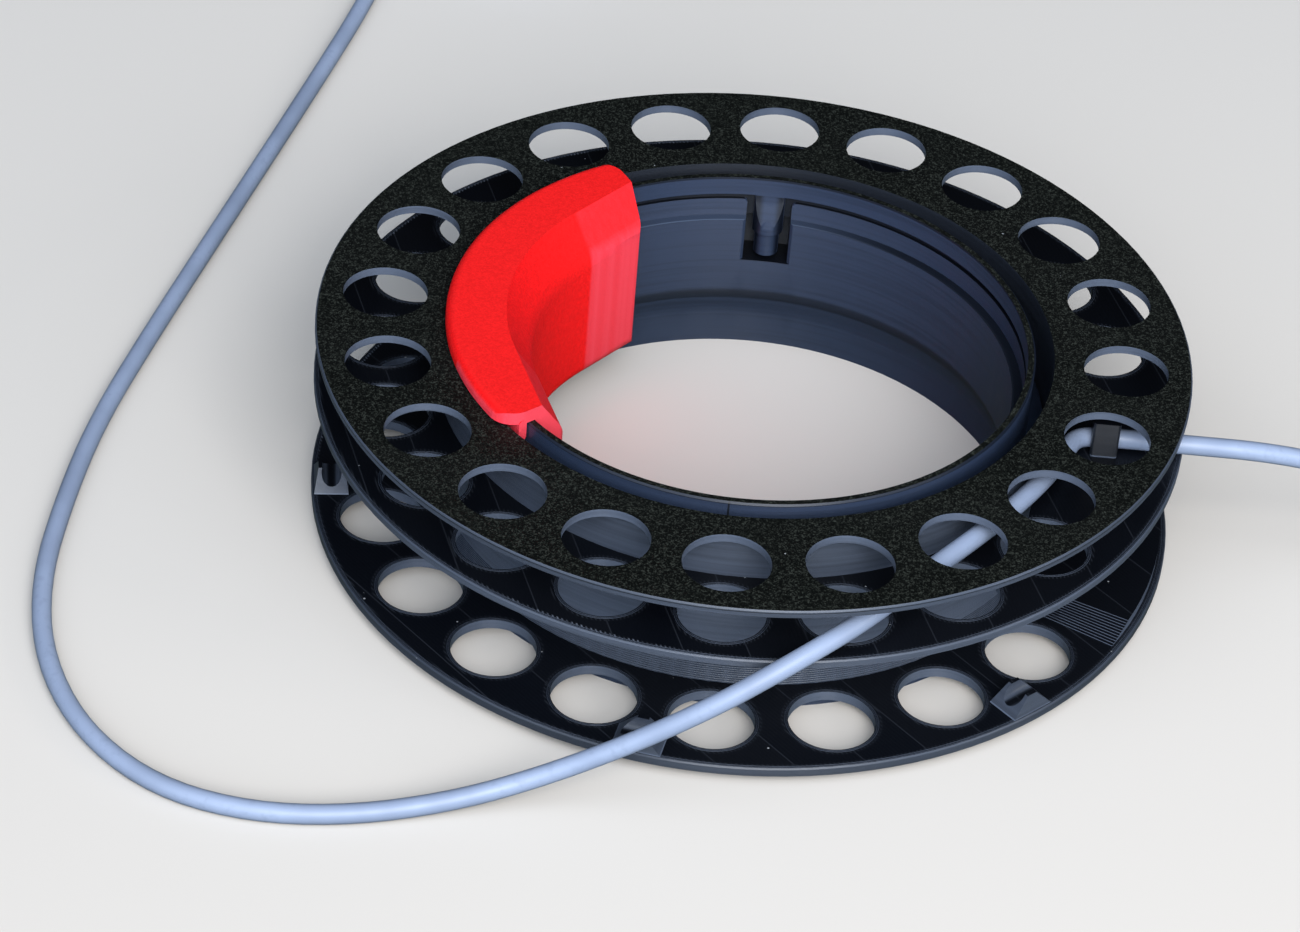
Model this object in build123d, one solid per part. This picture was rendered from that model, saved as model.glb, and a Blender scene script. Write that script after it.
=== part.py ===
from build123d import *
import os
from math import atan2, cos, degrees, pi, radians, sin, tan

# A printed cable reel that lies flat. Millimetres. The reel's axis is Z, the ground is Z = 0,
# X is to the right and Y away from the front. Angles are measured from X, counter-clockwise.

# Cable
CABLE_D = 5.6
CABLE_GAP = 0.3

# Spool: three flanges on two short drums
FLANGE_R = 125.0
SPOOL_BORE_R = 85.7
DRUM_WALL = 4.3
BOTTOM_FLANGE_T = 3.0
MIDDLE_FLANGE_T = 2.5
TOP_FLANGE_T = 2.5
LOWER_SPACE_H = 35.4
UPPER_SPACE_H = 14.8
FLANGE_CHAMFER = 0.4

# Ring of holes in every flange: they fill the width between the drum and the rim
RIM_WEB = 6.8
DRUM_WEB = 4.0
LEAST_HOLE_WEB = 8.6
FIRST_HOLE_ANGLE = 105.8
BOTTOM_CLOSED_COUNT = 3
MIDDLE_CLOSED_COUNT = 2

# Hub: the sleeve that the spool turns on
FOOT_T = 2.8
FOOT_REACH = 6.3
FOOT_CLEARANCE = 0.4
LAND_CLEARANCE = 0.4
LAND_H = 5.0
UPPER_LAND_DROP = 8.6
HUB_GAP = 5.4
HUB_WALL = 5.3
BAND_WALL = 4.7
BAND_H = 9.9
FLARE_H = 13.5
LIP_WALL = 1.0

# Hub: the ring that closes the sleeve
RING_H = 13.4
RING_WALL = 2.2
RING_FACE_H = 6.1
RING_PROUD = 0.3
RING_ROUND = 0.5
SKIRT_WALL = 1.1
SKIRT_CLEARANCE = 0.2
LIP_GAP = 1.5

# Hub: the locking peg of the ring and its slot in the sleeve
SLOT_X = 2.6
SLOT_W = 13.4
SLOT_DEPTH = 20.1
SLOT_CORNER_R = 1.6
SLOT_BEVEL = 0.8
PEG_R = 3.7
PEG_ROOT_R = 4.6
PEG_ROOT_H = 12.2
PEG_FLOOR_GAP = 1.6
PEG_TAPER = 3.0

# Red guide that saddles the ring
GUIDE_START = 121.3
GUIDE_END = 220.5
GUIDE_ARC_START = 141.0
GUIDE_ARC_END = 200.0
GUIDE_WALL_T = 12.0
GUIDE_PLATE_REACH = 7.9
GUIDE_PLATE_T = 3.9
GUIDE_PLATE_GAP = 0.5
GUIDE_FOOT_GAP = 0.5
GUIDE_RING_GAP = 0.3
GUIDE_WALL_GAP = 0.4
GUIDE_LIP_W = 2.6
GUIDE_LIP_DEPTH = 4.5
GUIDE_CORNER_R = 7.0
GUIDE_EDGE_ROUND = 2.8
GUIDE_SLOPE_W = 8.0
GUIDE_SLOPE_H = 12.0
GUIDE_SLOPE_ROUND = 12.0
GUIDE_BOTTOM_ROUND = 5.0
GUIDE_END_ROUND = 2.6

# Clips on the bottom flange that park the cable's end
CLIP_EDGE = 0.8
CLIP_BASE = (10.0, 14.0)
CLIP_TOP = (7.6, 3.2)
CLIP_H = 5.5
CLIP_CHANNEL_Z = 4.5
CLIP_PLAY = 0.1
CLIP_STEPS = (3, 6, 10, 14, 18)

# Raised sector of the bottom flange, printed as a flight of thin layers
LAYER_H = 0.25
RISE_LAYERS = 11
RISE_TREAD = 0.46
RISE_EDGE = 2.0
RISE_HOLE_GAP = 4.6

# Keeper on the middle flange that holds the cable down
KEEPER_Y = -17.2
KEEPER_STANDOFF = 8.8
KEEPER_LENGTH = 7.7
KEEPER_WALL = 2.0
KEEPER_GAP = 0.6
KEEPER_H = 11.5
KEEPER_ROUND = 0.8

# Passage through the middle flange, from the lower space to the upper one
PASSAGE_W = 6.4
PASSAGE_L = 21.0
PASSAGE_ANGLE = -31.0
PASSAGE_TURN = 80.5

# Coil of the cable that is put away
COIL_R = 33.0
COIL_COLUMNS = 3
COIL_LAYERS = 3
COIL_LAST_TURN = 270.0
COIL_LEAD = 24.0
COIL_CHAMFER = 1.6

# Modular plug and its boot
PLUG_W = 11.7
PLUG_L = 21.5
PLUG_H = 6.6
LATCH_W = 6.2
LATCH_T = 1.0
LATCH_L = 14.0
LATCH_RISE = 3.4
LATCH_ROOT_L = 3.0
BOOT_L = 12.0
BOOT_NECK_R = 3.6
BOOT_W = 10.6
BOOT_H = 6.4
BOOT_CORNER_R = 2.0

# Radii that follow from the sizes above
DRUM_R = SPOOL_BORE_R + DRUM_WALL
HOLE_R = (FLANGE_R - RIM_WEB - DRUM_R - DRUM_WEB) / 2
HOLE_PITCH_R = DRUM_R + DRUM_WEB + HOLE_R
HOLE_COUNT = int(2 * pi * HOLE_PITCH_R / (2 * HOLE_R + LEAST_HOLE_WEB))
LAND_R = SPOOL_BORE_R - LAND_CLEARANCE
FOOT_R = SPOOL_BORE_R + FOOT_REACH
HUB_OUTER_R = SPOOL_BORE_R - HUB_GAP
HUB_BORE_R = HUB_OUTER_R - HUB_WALL
BAND_BORE_R = LAND_R - BAND_WALL
RING_BORE_R = HUB_OUTER_R - RING_WALL
SKIRT_R = HUB_OUTER_R - SKIRT_WALL
LIP_OUTER_R = SKIRT_R - SKIRT_CLEARANCE
LIP_BORE_R = LIP_OUTER_R - LIP_WALL
GUIDE_WALL_R = HUB_BORE_R - GUIDE_WALL_T
GUIDE_PLATE_R = HUB_OUTER_R + GUIDE_PLATE_REACH
CABLE_R = CABLE_D / 2

# Heights that follow
SPOOL_Z = FOOT_T + FOOT_CLEARANCE
BOTTOM_TOP_Z = SPOOL_Z + BOTTOM_FLANGE_T
MIDDLE_Z = BOTTOM_TOP_Z + LOWER_SPACE_H
MIDDLE_TOP_Z = MIDDLE_Z + MIDDLE_FLANGE_T
TOP_Z = MIDDLE_TOP_Z + UPPER_SPACE_H
REEL_TOP_Z = TOP_Z + TOP_FLANGE_T
UPPER_LAND_Z = MIDDLE_Z - UPPER_LAND_DROP
RING_TOP_Z = REEL_TOP_Z + RING_PROUD
RING_FACE_Z = RING_TOP_Z - RING_FACE_H
LEDGE_Z = RING_TOP_Z - RING_H
LIP_TOP_Z = RING_FACE_Z - LIP_GAP
SLOT_BOTTOM_Z = LIP_TOP_Z - SLOT_DEPTH
PEG_STEP_Z = RING_FACE_Z - PEG_ROOT_H
PEG_BOTTOM_Z = SLOT_BOTTOM_Z + PEG_FLOOR_GAP
GUIDE_PLATE_Z = REEL_TOP_Z + GUIDE_PLATE_GAP
GUIDE_TOP_Z = GUIDE_PLATE_Z + GUIDE_PLATE_T
GUIDE_BOTTOM_Z = BAND_H + GUIDE_FOOT_GAP
HELD_Z = MIDDLE_TOP_Z + CABLE_R + CABLE_GAP

# Places that follow
KEEPER_X = (DRUM_R ** 2 - KEEPER_Y ** 2) ** 0.5 + KEEPER_STANDOFF + KEEPER_LENGTH / 2
KEEPER_ANGLE = degrees(atan2(KEEPER_Y, KEEPER_X))
CLIP_PITCH_R = FLANGE_R - CLIP_EDGE - CLIP_BASE[0] / 2

# The cable's route, from the keeper to the left, over the ground and out at the back
LEFT_ROUTE = [
    (104.0, -17.2, HELD_Z), (96.6, -17.2, HELD_Z), (92.6, -19.6, 47.5), (90.3, -24.9, 48.2),
    (86.3, -36.2, 49.7), (78.5, -52.5, 51.6), (65.0, -73.5, 53.0), (50.5, -91.5, 52.8),
    (35.0, -111.5, 51.3), (17.0, -127.8, 48.4), (-3.0, -135.8, 37.5), (-24.0, -138.0, 24.0),
    (-46.0, -139.0, 11.0), (-70.0, -145.0, 4.0),
    (-98.0, -153.8, CABLE_R), (-126.0, -156.5, CABLE_R), (-152.0, -148.0, CABLE_R),
    (-174.0, -128.0, CABLE_R), (-189.0, -99.0, CABLE_R), (-195.5, -66.0, CABLE_R),
    (-194.0, -30.0, CABLE_R), (-190.0, 8.0, CABLE_R), (-181.0, 52.0, CABLE_R),
    (-169.5, 103.0, CABLE_R), (-156.5, 160.0, CABLE_R), (-145.0, 211.0, CABLE_R),
    (-137.5, 246.0, CABLE_R), (-133.2, 272.0, CABLE_R), (-131.5, 296.0, CABLE_R),
]
# From the keeper to the right, out over the flanges and down to the ground
RIGHT_ROUTE = [
    (104.0, -17.2, HELD_Z), (113.0, -17.2, HELD_Z), (127.0, -18.3, 47.8), (145.0, -16.8, 46.6),
    (165.5, -12.0, 41.0), (186.0, -9.5, 30.0), (206.0, -9.0, 17.0), (225.0, -10.2, 6.6),
    (242.0, -12.0, CABLE_R), (256.0, -12.6, CABLE_R),
]


def polar(radius, angle):
    """Point at a radius and an angle in degrees."""
    return (radius * cos(radians(angle)), radius * sin(radians(angle)))


def band(inner_r, outer_r, low, high):
    """Flat ring between two heights."""
    return Pos(0, 0, low) * extrude(Circle(outer_r) - Circle(inner_r), high - low)


def sector(inner_r, outer_r, start, end, low, high):
    """Part of a flat ring between two angles."""
    middle = Pos((inner_r + outer_r) / 2, (low + high) / 2)
    face = Plane.XZ * middle * Rectangle(outer_r - inner_r, high - low)
    return Rot(0, 0, start) * revolve(face, Axis.Z, end - start)


def turned(points, span=360.0, start=0.0):
    """Solid turned about Z from an outline of (radius, height) points."""
    face = make_face(Plane.XZ * Polyline(*points, close=True))
    return Rot(0, 0, start) * revolve(face, Axis.Z, span)


def hole_angle(index):
    return FIRST_HOLE_ANGLE - index * 360 / HOLE_COUNT


def nearest_holes(angle, count):
    """Numbers of the holes that lie nearest to an angle."""
    def turn_away(index):
        return abs((hole_angle(index) - angle + 180) % 360 - 180)
    return sorted(range(HOLE_COUNT), key=turn_away)[:count]


def flange(low, thickness, closed=()):
    """Flange disc with its ring of holes, some of them left closed."""
    holes = [Pos(*polar(HOLE_PITCH_R, hole_angle(index))) * Circle(HOLE_R)
             for index in range(HOLE_COUNT) if index not in closed]
    disc = extrude(Circle(FLANGE_R) - Circle(SPOOL_BORE_R), thickness)
    rim = disc.edges().filter_by(GeomType.CIRCLE).filter_by(
        lambda edge: abs(edge.radius - FLANGE_R) < FLANGE_CHAMFER)
    disc = chamfer(rim, FLANGE_CHAMFER)
    return Pos(0, 0, low) * (disc - extrude(Sketch() + holes, thickness))


def cable_clip(angle):
    """Block with 45 degree ends and an open channel for the cable."""
    foot = Rectangle(*CLIP_BASE)
    head = Pos(0, 0, CLIP_H) * Rectangle(*CLIP_TOP)
    block = loft([foot, head])
    channel = Cylinder(CABLE_R + CLIP_PLAY, 2 * CLIP_BASE[1])
    channel = Pos(0, 0, CLIP_CHANNEL_Z) * Rot(90, 0, 0) * channel
    place = Rot(0, 0, angle) * Pos(CLIP_PITCH_R, 0, BOTTOM_TOP_Z)
    return place * (block - channel)


def raised_sector(closed):
    """Raised part over the closed holes: each layer starts a little further on."""
    middle = sum(hole_angle(index) for index in closed) / len(closed)
    next_hole = (len(closed) + 1) / 2 * 360 / HOLE_COUNT
    foot_span = next_hole - degrees((HOLE_R + RISE_HOLE_GAP) / HOLE_PITCH_R)
    rise = Part()
    for layer in range(RISE_LAYERS):
        span = foot_span - layer * RISE_TREAD
        low = BOTTOM_TOP_Z + layer * LAYER_H
        rise += sector(DRUM_R - DRUM_WALL / 2, FLANGE_R - RISE_EDGE,
                       middle - span, middle + span, low, low + LAYER_H)
    return rise


def make_bottom_flange():
    closed = nearest_holes(KEEPER_ANGLE, BOTTOM_CLOSED_COUNT)
    body = flange(SPOOL_Z, BOTTOM_FLANGE_T, closed)
    body += band(SPOOL_BORE_R, DRUM_R, BOTTOM_TOP_Z, MIDDLE_Z)
    body += raised_sector(closed)
    half_pitch = 180 / HOLE_COUNT
    for steps in CLIP_STEPS:
        body += cable_clip(FIRST_HOLE_ANGLE - 90 - half_pitch - steps * 360 / HOLE_COUNT)
    return body


def keeper():
    """Bridge over the cable, open at both ends."""
    width = CABLE_D + 2 * (KEEPER_GAP + KEEPER_WALL)
    block = Box(KEEPER_LENGTH, width, KEEPER_H, align=(Align.CENTER, Align.CENTER, Align.MIN))
    block = fillet(block.edges().filter_by(Axis.Z), KEEPER_ROUND)
    tunnel_r = CABLE_R + KEEPER_GAP
    tunnel_z = HELD_Z - MIDDLE_TOP_Z
    tunnel = Pos(0, 0, tunnel_z) * Rot(0, 90, 0) * Cylinder(tunnel_r, 2 * KEEPER_LENGTH)
    tunnel += Box(2 * KEEPER_LENGTH, 2 * tunnel_r, tunnel_z,
                  align=(Align.CENTER, Align.CENTER, Align.MIN))
    return Pos(KEEPER_X, KEEPER_Y, MIDDLE_TOP_Z) * (block - tunnel)


def passage():
    """Slot beside the upper drum that lets the cable climb from one space to the other."""
    place = Pos(*polar(DRUM_R, PASSAGE_ANGLE)) * Rot(0, 0, PASSAGE_TURN)
    outline = place * SlotOverall(PASSAGE_L, PASSAGE_W) - Circle(DRUM_R)
    return Pos(0, 0, MIDDLE_Z) * extrude(outline, MIDDLE_FLANGE_T)


def make_middle_flange():
    closed = nearest_holes(KEEPER_ANGLE, MIDDLE_CLOSED_COUNT)
    return flange(MIDDLE_Z, MIDDLE_FLANGE_T, closed) - passage() + keeper()


def make_top_flange():
    drum = band(SPOOL_BORE_R, DRUM_R, MIDDLE_TOP_Z, TOP_Z)
    return flange(TOP_Z, TOP_FLANGE_T) + drum


def slot_profile():
    """Slot with a flat bottom and rounded mouth, seen from the front."""
    high = LIP_TOP_Z + SLOT_CORNER_R
    outline = Pos(0, (SLOT_BOTTOM_Z + high) / 2) * Rectangle(SLOT_W, high - SLOT_BOTTOM_Z)
    mouth_low = LIP_TOP_Z - SLOT_CORNER_R
    mouth_w = SLOT_W + 2 * SLOT_CORNER_R
    mouth = Pos(0, (mouth_low + high) / 2) * Rectangle(mouth_w, high - mouth_low)
    for side in (-1, 1):
        mouth -= Pos(side * mouth_w / 2, mouth_low) * Circle(SLOT_CORNER_R)
    return outline + mouth


def slot_sides(body):
    """The two upright edges where the slot meets the sleeve's bore."""
    def beside_slot(edge):
        middle = edge @ 0.5
        off_bore = abs(Vector(middle.X, middle.Y).length - HUB_BORE_R)
        return middle.Y > 0 and abs(middle.X - SLOT_X) < SLOT_W and off_bore < LAND_CLEARANCE
    return body.edges().filter_by(Axis.Z).filter_by(beside_slot)


def make_hub_sleeve():
    cone = LAND_R - HUB_OUTER_R
    upper_land_top = UPPER_LAND_Z + LAND_H
    lower_land_top = BAND_H + LAND_H
    body = turned([
        (BAND_BORE_R, 0), (FOOT_R, 0), (FOOT_R, FOOT_T), (LAND_R, FOOT_T),
        (LAND_R, lower_land_top), (HUB_OUTER_R, lower_land_top + cone),
        (HUB_OUTER_R, UPPER_LAND_Z - cone), (LAND_R, UPPER_LAND_Z),
        (LAND_R, upper_land_top), (HUB_OUTER_R, upper_land_top + cone),
        (HUB_OUTER_R, LEDGE_Z), (LIP_OUTER_R, LEDGE_Z), (LIP_OUTER_R, LIP_TOP_Z),
        (LIP_BORE_R, LIP_TOP_Z), (LIP_BORE_R, LEDGE_Z), (HUB_BORE_R, LEDGE_Z),
        (HUB_BORE_R, BAND_H + FLARE_H), (BAND_BORE_R, BAND_H),
    ])
    slot = extrude(Plane.XZ * Pos(SLOT_X, 0) * slot_profile(), -FOOT_R)
    body -= slot
    return chamfer(slot_sides(body), SLOT_BEVEL)


def make_hub_ring():
    body = turned([
        (RING_BORE_R, RING_FACE_Z), (SKIRT_R, RING_FACE_Z), (SKIRT_R, LEDGE_Z),
        (HUB_OUTER_R, LEDGE_Z), (HUB_OUTER_R, RING_TOP_Z - RING_ROUND),
        (HUB_OUTER_R - RING_ROUND, RING_TOP_Z), (RING_BORE_R, RING_TOP_Z),
    ])
    return body + locking_peg()


def locking_peg():
    """Half-round peg: wide at its root, narrow in the slot, tapered up to the ring's face."""
    align = (Align.CENTER, Align.CENTER, Align.MIN)
    place = Pos(SLOT_X, SKIRT_R, 0)
    top = RING_FACE_Z + PEG_ROOT_R
    peg = place * Pos(0, 0, PEG_BOTTOM_Z) * Cylinder(PEG_R, top - PEG_BOTTOM_Z, align=align)
    peg += place * Pos(0, 0, PEG_STEP_Z) * Cylinder(PEG_ROOT_R, top - PEG_STEP_Z, align=align)
    taper_z = RING_FACE_Z - PEG_TAPER * RING_BORE_R
    blend = turned([(0, taper_z), (RING_BORE_R, RING_FACE_Z),
                    (RING_BORE_R, top), (0, top)])
    outside = band(HUB_OUTER_R, 2 * HUB_OUTER_R, PEG_BOTTOM_Z, top)
    return peg - blend - outside


def guide_hollow():
    """Plan of the space inside the guide: an arc with a straight run off each end."""
    arc = CenterArc((0, 0), GUIDE_WALL_R, GUIDE_ARC_START, GUIDE_ARC_END - GUIDE_ARC_START)
    over = 3.0
    before = GUIDE_ARC_START - GUIDE_START + over
    after = GUIDE_END - GUIDE_ARC_END + over
    first = polar(GUIDE_WALL_R / cos(radians(before)), GUIDE_ARC_START - before)
    last = polar(GUIDE_WALL_R / cos(radians(after)), GUIDE_ARC_END + after)
    return make_face([Line((0, 0), first), Line(first, arc @ 0), arc,
                      Line(arc @ 1, last), Line(last, (0, 0))])


def inner_edges(body, low, high):
    """Edges of the guide's inner side whose middles lie between two heights."""
    reach = GUIDE_WALL_R + GUIDE_WALL_T / 3
    return body.edges().filter_by(
        lambda edge: low < (edge @ 0.5).Z < high
        and Vector((edge @ 0.5).X, (edge @ 0.5).Y).length < reach)


def make_rim_guide():
    """Guide: a plate over the rim, a lip outside it and a thick rounded wall in the bore."""
    span = GUIDE_END - GUIDE_START
    neck_r = RING_BORE_R - GUIDE_RING_GAP
    wall_r = HUB_BORE_R - GUIDE_WALL_GAP
    lip_r = HUB_OUTER_R + GUIDE_WALL_GAP
    inside_r = GUIDE_WALL_R - GUIDE_WALL_T / 2
    shoulder_z = LEDGE_Z + GUIDE_PLATE_GAP
    hair = GUIDE_WALL_GAP / 20
    body = turned([
        (inside_r, GUIDE_BOTTOM_Z), (wall_r, GUIDE_BOTTOM_Z), (wall_r, shoulder_z),
        (neck_r, shoulder_z), (neck_r, GUIDE_TOP_Z), (inside_r, GUIDE_TOP_Z),
    ], span, GUIDE_START)
    lip_face = Pos(lip_r + GUIDE_LIP_W / 2, RING_TOP_Z - GUIDE_LIP_DEPTH / 2) * RectangleRounded(
        GUIDE_LIP_W, GUIDE_LIP_DEPTH + GUIDE_LIP_W, GUIDE_LIP_W / 2 - hair)
    body += Rot(0, 0, GUIDE_START) * revolve(Plane.XZ * lip_face, Axis.Z, span)
    body += guide_plate() + sector(neck_r - GUIDE_LIP_W, GUIDE_PLATE_R - GUIDE_CORNER_R,
                                   GUIDE_START, GUIDE_END, RING_TOP_Z, GUIDE_PLATE_Z)
    body -= extrude(guide_hollow(), GUIDE_TOP_Z + GUIDE_PLATE_T)
    top_edges = inner_edges(body, GUIDE_TOP_Z - hair, GUIDE_TOP_Z + hair)
    top_face = body.faces().filter_by(Axis.Z).sort_by(Axis.Z)[-1]
    body = chamfer(top_edges, GUIDE_SLOPE_W, GUIDE_SLOPE_H, reference=top_face)
    slope_foot_z = GUIDE_TOP_Z - GUIDE_SLOPE_H
    slope_foot = inner_edges(body, slope_foot_z - hair, slope_foot_z + hair)
    body = fillet(slope_foot, GUIDE_SLOPE_ROUND)
    body = fillet(inner_edges(body, GUIDE_BOTTOM_Z - hair, GUIDE_BOTTOM_Z + hair),
                  GUIDE_BOTTOM_ROUND)
    for end, tangent in ((GUIDE_START, GUIDE_ARC_START), (GUIDE_END, GUIDE_ARC_END)):
        body -= extrude(end_corner(end, tangent), GUIDE_TOP_Z)
    return body


def end_corner(end, tangent):
    """Plan of what a rounding takes off the inner corner at one end of the guide's wall."""
    corner = polar(GUIDE_WALL_R / cos(radians(end - tangent)), end)
    face = make_face(Polyline(corner, polar(GUIDE_WALL_R, tangent),
                              polar(GUIDE_WALL_R + GUIDE_WALL_T, end), close=True))
    inner = face.vertices().sort_by_distance((*corner, 0))[0]
    return face - fillet(inner, GUIDE_END_ROUND)


def guide_plate():
    """Plate of the guide: rounded along its outer edge, with round outer corners in plan."""
    arc = CenterArc((0, 0), GUIDE_PLATE_R, GUIDE_START, GUIDE_END - GUIDE_START)
    face = make_face([Line((0, 0), arc @ 0), arc, Line(arc @ 1, (0, 0))])
    corners = face.vertices().filter_by(
        lambda vertex: Vector(vertex.X, vertex.Y).length > HUB_OUTER_R)
    face = fillet(corners, GUIDE_CORNER_R)
    profile = Pos(GUIDE_PLATE_R / 2, GUIDE_PLATE_T / 2) * Rectangle(GUIDE_PLATE_R, GUIDE_PLATE_T)
    outer_top = profile.vertices().sort_by_distance((GUIDE_PLATE_R, GUIDE_PLATE_T))[0]
    profile = fillet(outer_top, GUIDE_EDGE_ROUND)
    plate = extrude(face, GUIDE_PLATE_T) & revolve(Plane.XZ * profile, Axis.Z)
    return Pos(0, 0, GUIDE_PLATE_Z) * plate


def bend_radii(route):
    """Largest arcs that the runs leave room for: 0.45 of the shorter run at each corner."""
    radii = []
    for before, corner, after in zip(route, route[1:], route[2:]):
        first = Vector(*corner) - Vector(*before)
        second = Vector(*after) - Vector(*corner)
        half_turn = radians(first.get_angle(second)) / 2
        radii.append(0.45 * min(first.length, second.length) / tan(half_turn))
    return radii


def cable_tube(name, route):
    radii = bend_radii(route)
    path = FilletPolyline(*route, radius=radii)
    profile = Plane(origin=path @ 0, z_dir=path % 0) * Circle(CABLE_R)
    tube = sweep(profile, path)
    print(name, "length", round(path.length, 1), "smallest radius", round(min(radii), 1),
          "volume ratio", round(tube.volume / (path.length * pi * CABLE_R ** 2), 4))
    return tube


def coil_frame(route):
    """Place of a coil that winds on from the end of a route, with X along the cable."""
    before, end = route[-2:]
    heading = degrees(atan2(end[1] - before[1], end[0] - before[0]))
    return Pos(end[0], end[1], 0) * Rot(0, 0, heading)


def coil_solid():
    """Outer shape of a coil that winds to the left from a lead along X at the origin."""
    half_w = COIL_COLUMNS * CABLE_R
    outer_turn = COIL_R + half_w - CABLE_R
    height = COIL_LAYERS * CABLE_D
    inner_r = COIL_R - half_w
    outer_r = COIL_R + half_w
    ring = turned([
        (inner_r + COIL_CHAMFER, 0), (outer_r - COIL_CHAMFER, 0), (outer_r, COIL_CHAMFER),
        (outer_r, height - COIL_CHAMFER), (outer_r - COIL_CHAMFER, height),
        (inner_r + COIL_CHAMFER, height), (inner_r, height - COIL_CHAMFER),
        (inner_r, COIL_CHAMFER),
    ])
    ring += sector(inner_r, inner_r + CABLE_D, -90, -90 + COIL_LAST_TURN,
                   height - CABLE_R, height + CABLE_D + CABLE_GAP)
    ring = Pos(COIL_LEAD, outer_turn, 0) * ring
    lead = Pos(0, 0, CABLE_R) * Rot(0, 90, 0) * Cylinder(
        CABLE_R, COIL_LEAD, align=(Align.CENTER, Align.CENTER, Align.MIN))
    return ring + lead


def plug_place():
    """Where the boot starts, in the coil's own frame: the boot and plug run along X from here."""
    half_w = COIL_COLUMNS * CABLE_R
    last_r = COIL_R - half_w + CABLE_R
    angle = -90 + COIL_LAST_TURN
    x, y = polar(last_r, angle)
    height = COIL_LAYERS * CABLE_D + CABLE_GAP + PLUG_H / 2
    return Pos(COIL_LEAD + x, COIL_R + half_w - CABLE_R + y, height) * Rot(0, 0, angle + 90)


def boot_solid():
    neck = Plane.YZ * Circle(BOOT_NECK_R)
    mouth = Plane.YZ.offset(BOOT_L) * RectangleRounded(BOOT_W, BOOT_H, BOOT_CORNER_R)
    return loft([neck, mouth])


def plug_solid():
    """Clear modular plug with its latch lever standing up from the nose."""
    align = (Align.MIN, Align.CENTER, Align.CENTER)
    body = Pos(BOOT_L, 0, 0) * Box(PLUG_L, PLUG_W, PLUG_H, align=align)
    nose = BOOT_L + PLUG_L
    low = PLUG_H / 2
    lever = Polyline((nose, low - LATCH_T), (nose, low), (nose - LATCH_L, low + LATCH_RISE),
                     (nose - LATCH_L, low + LATCH_RISE - LATCH_T),
                     (nose - LATCH_ROOT_L, low - LATCH_T),
                     close=True)
    blade = extrude(Plane.XZ * make_face(lever), LATCH_W / 2, both=True)
    return body + blade


def place_on_coil(shape, route, side):
    """Put a shape at a route's end, wound to the left (1) or mirrored to the right (-1)."""
    if side < 0:
        shape = mirror(shape, Plane.XZ)
    return coil_frame(route) * shape


os.makedirs("parts", exist_ok=True)

nodes = {
    "bottom_flange": make_bottom_flange(),
    "middle_flange": make_middle_flange(),
    "top_flange": make_top_flange(),
    "hub_sleeve": make_hub_sleeve(),
    "hub_ring": make_hub_ring(),
    "rim_guide": make_rim_guide(),
}
for end_name, route, side in (("left", LEFT_ROUTE, -1), ("right", RIGHT_ROUTE, 1)):
    nodes[f"cable_{end_name}"] = cable_tube(f"cable_{end_name}", route)
    nodes[f"coil_{end_name}"] = place_on_coil(coil_solid(), route, side)
    nodes[f"boot_{end_name}"] = place_on_coil(plug_place() * boot_solid(), route, side)
    nodes[f"plug_{end_name}"] = place_on_coil(plug_place() * plug_solid(), route, side)

for name, shape in nodes.items():
    export_step(shape, f"parts/{name}.step")
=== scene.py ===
# %% [markdown]
# # A printed cable reel
# The real object is a flat reel, printed in black plastic: three flanges full of round holes,
# a hub that turns inside them, a red guide that sits on the hub's rim, and a network cable.
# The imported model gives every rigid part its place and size. This script gives the parts their
# finish, lays the cable out as one smooth line, and adds what is too fine for the solids.

# %% Load the frame
import math

import bmesh
import bpy
import numpy as np
from mathutils import Matrix, Vector


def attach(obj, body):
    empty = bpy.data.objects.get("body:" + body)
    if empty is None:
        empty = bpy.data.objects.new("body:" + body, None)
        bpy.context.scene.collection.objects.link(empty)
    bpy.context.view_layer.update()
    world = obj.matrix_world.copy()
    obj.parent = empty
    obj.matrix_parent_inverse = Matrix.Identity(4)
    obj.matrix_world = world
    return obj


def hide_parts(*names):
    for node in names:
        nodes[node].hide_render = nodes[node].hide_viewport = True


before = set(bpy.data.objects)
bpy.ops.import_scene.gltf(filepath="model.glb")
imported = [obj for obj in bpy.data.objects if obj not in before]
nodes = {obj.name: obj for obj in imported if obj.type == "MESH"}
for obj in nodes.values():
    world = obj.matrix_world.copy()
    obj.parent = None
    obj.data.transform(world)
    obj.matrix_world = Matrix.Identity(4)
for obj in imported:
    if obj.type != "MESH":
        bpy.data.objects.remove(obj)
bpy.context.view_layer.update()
scene = bpy.context.scene
MM = 0.001
print("nodes", sorted(nodes))

# %% [markdown]
# ## Camera
# The photo looks down on the reel with a long lens, and the camera is rolled a little. Three
# facts place it: how far it stands from the reel, how steeply it looks down, and its roll.
# A rotation about X tips a Blender camera down from straight ahead, and a second rotation
# about the camera's own Z axis rolls it.

# %% Place the camera
IMAGE_WIDTH_PX = 1300
FOCAL_LENGTH_PX = 4384
SENSOR_MM = 36.0
LOOK_DOWN_DEG = 37.52
ROLL_DEG = 4.83
CAMERA_PLACE = Vector((-26.6, -1015.1, 789.6)) * MM

camera_data = bpy.data.cameras.new("camera")
camera_data.sensor_width = SENSOR_MM
camera_data.sensor_fit = "HORIZONTAL"
camera_data.lens = FOCAL_LENGTH_PX / IMAGE_WIDTH_PX * SENSOR_MM
camera_data.clip_start = 0.05
camera_data.clip_end = 50
camera = bpy.data.objects.new("camera", camera_data)
scene.collection.objects.link(camera)
tip = Matrix.Rotation(math.radians(90 - LOOK_DOWN_DEG), 4, "X")
roll = Matrix.Rotation(math.radians(ROLL_DEG), 4, "Z")
camera.matrix_world = Matrix.Translation(CAMERA_PLACE) @ tip @ roll
scene.camera = camera
print("lens", round(camera_data.lens, 1), "mm")

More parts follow.
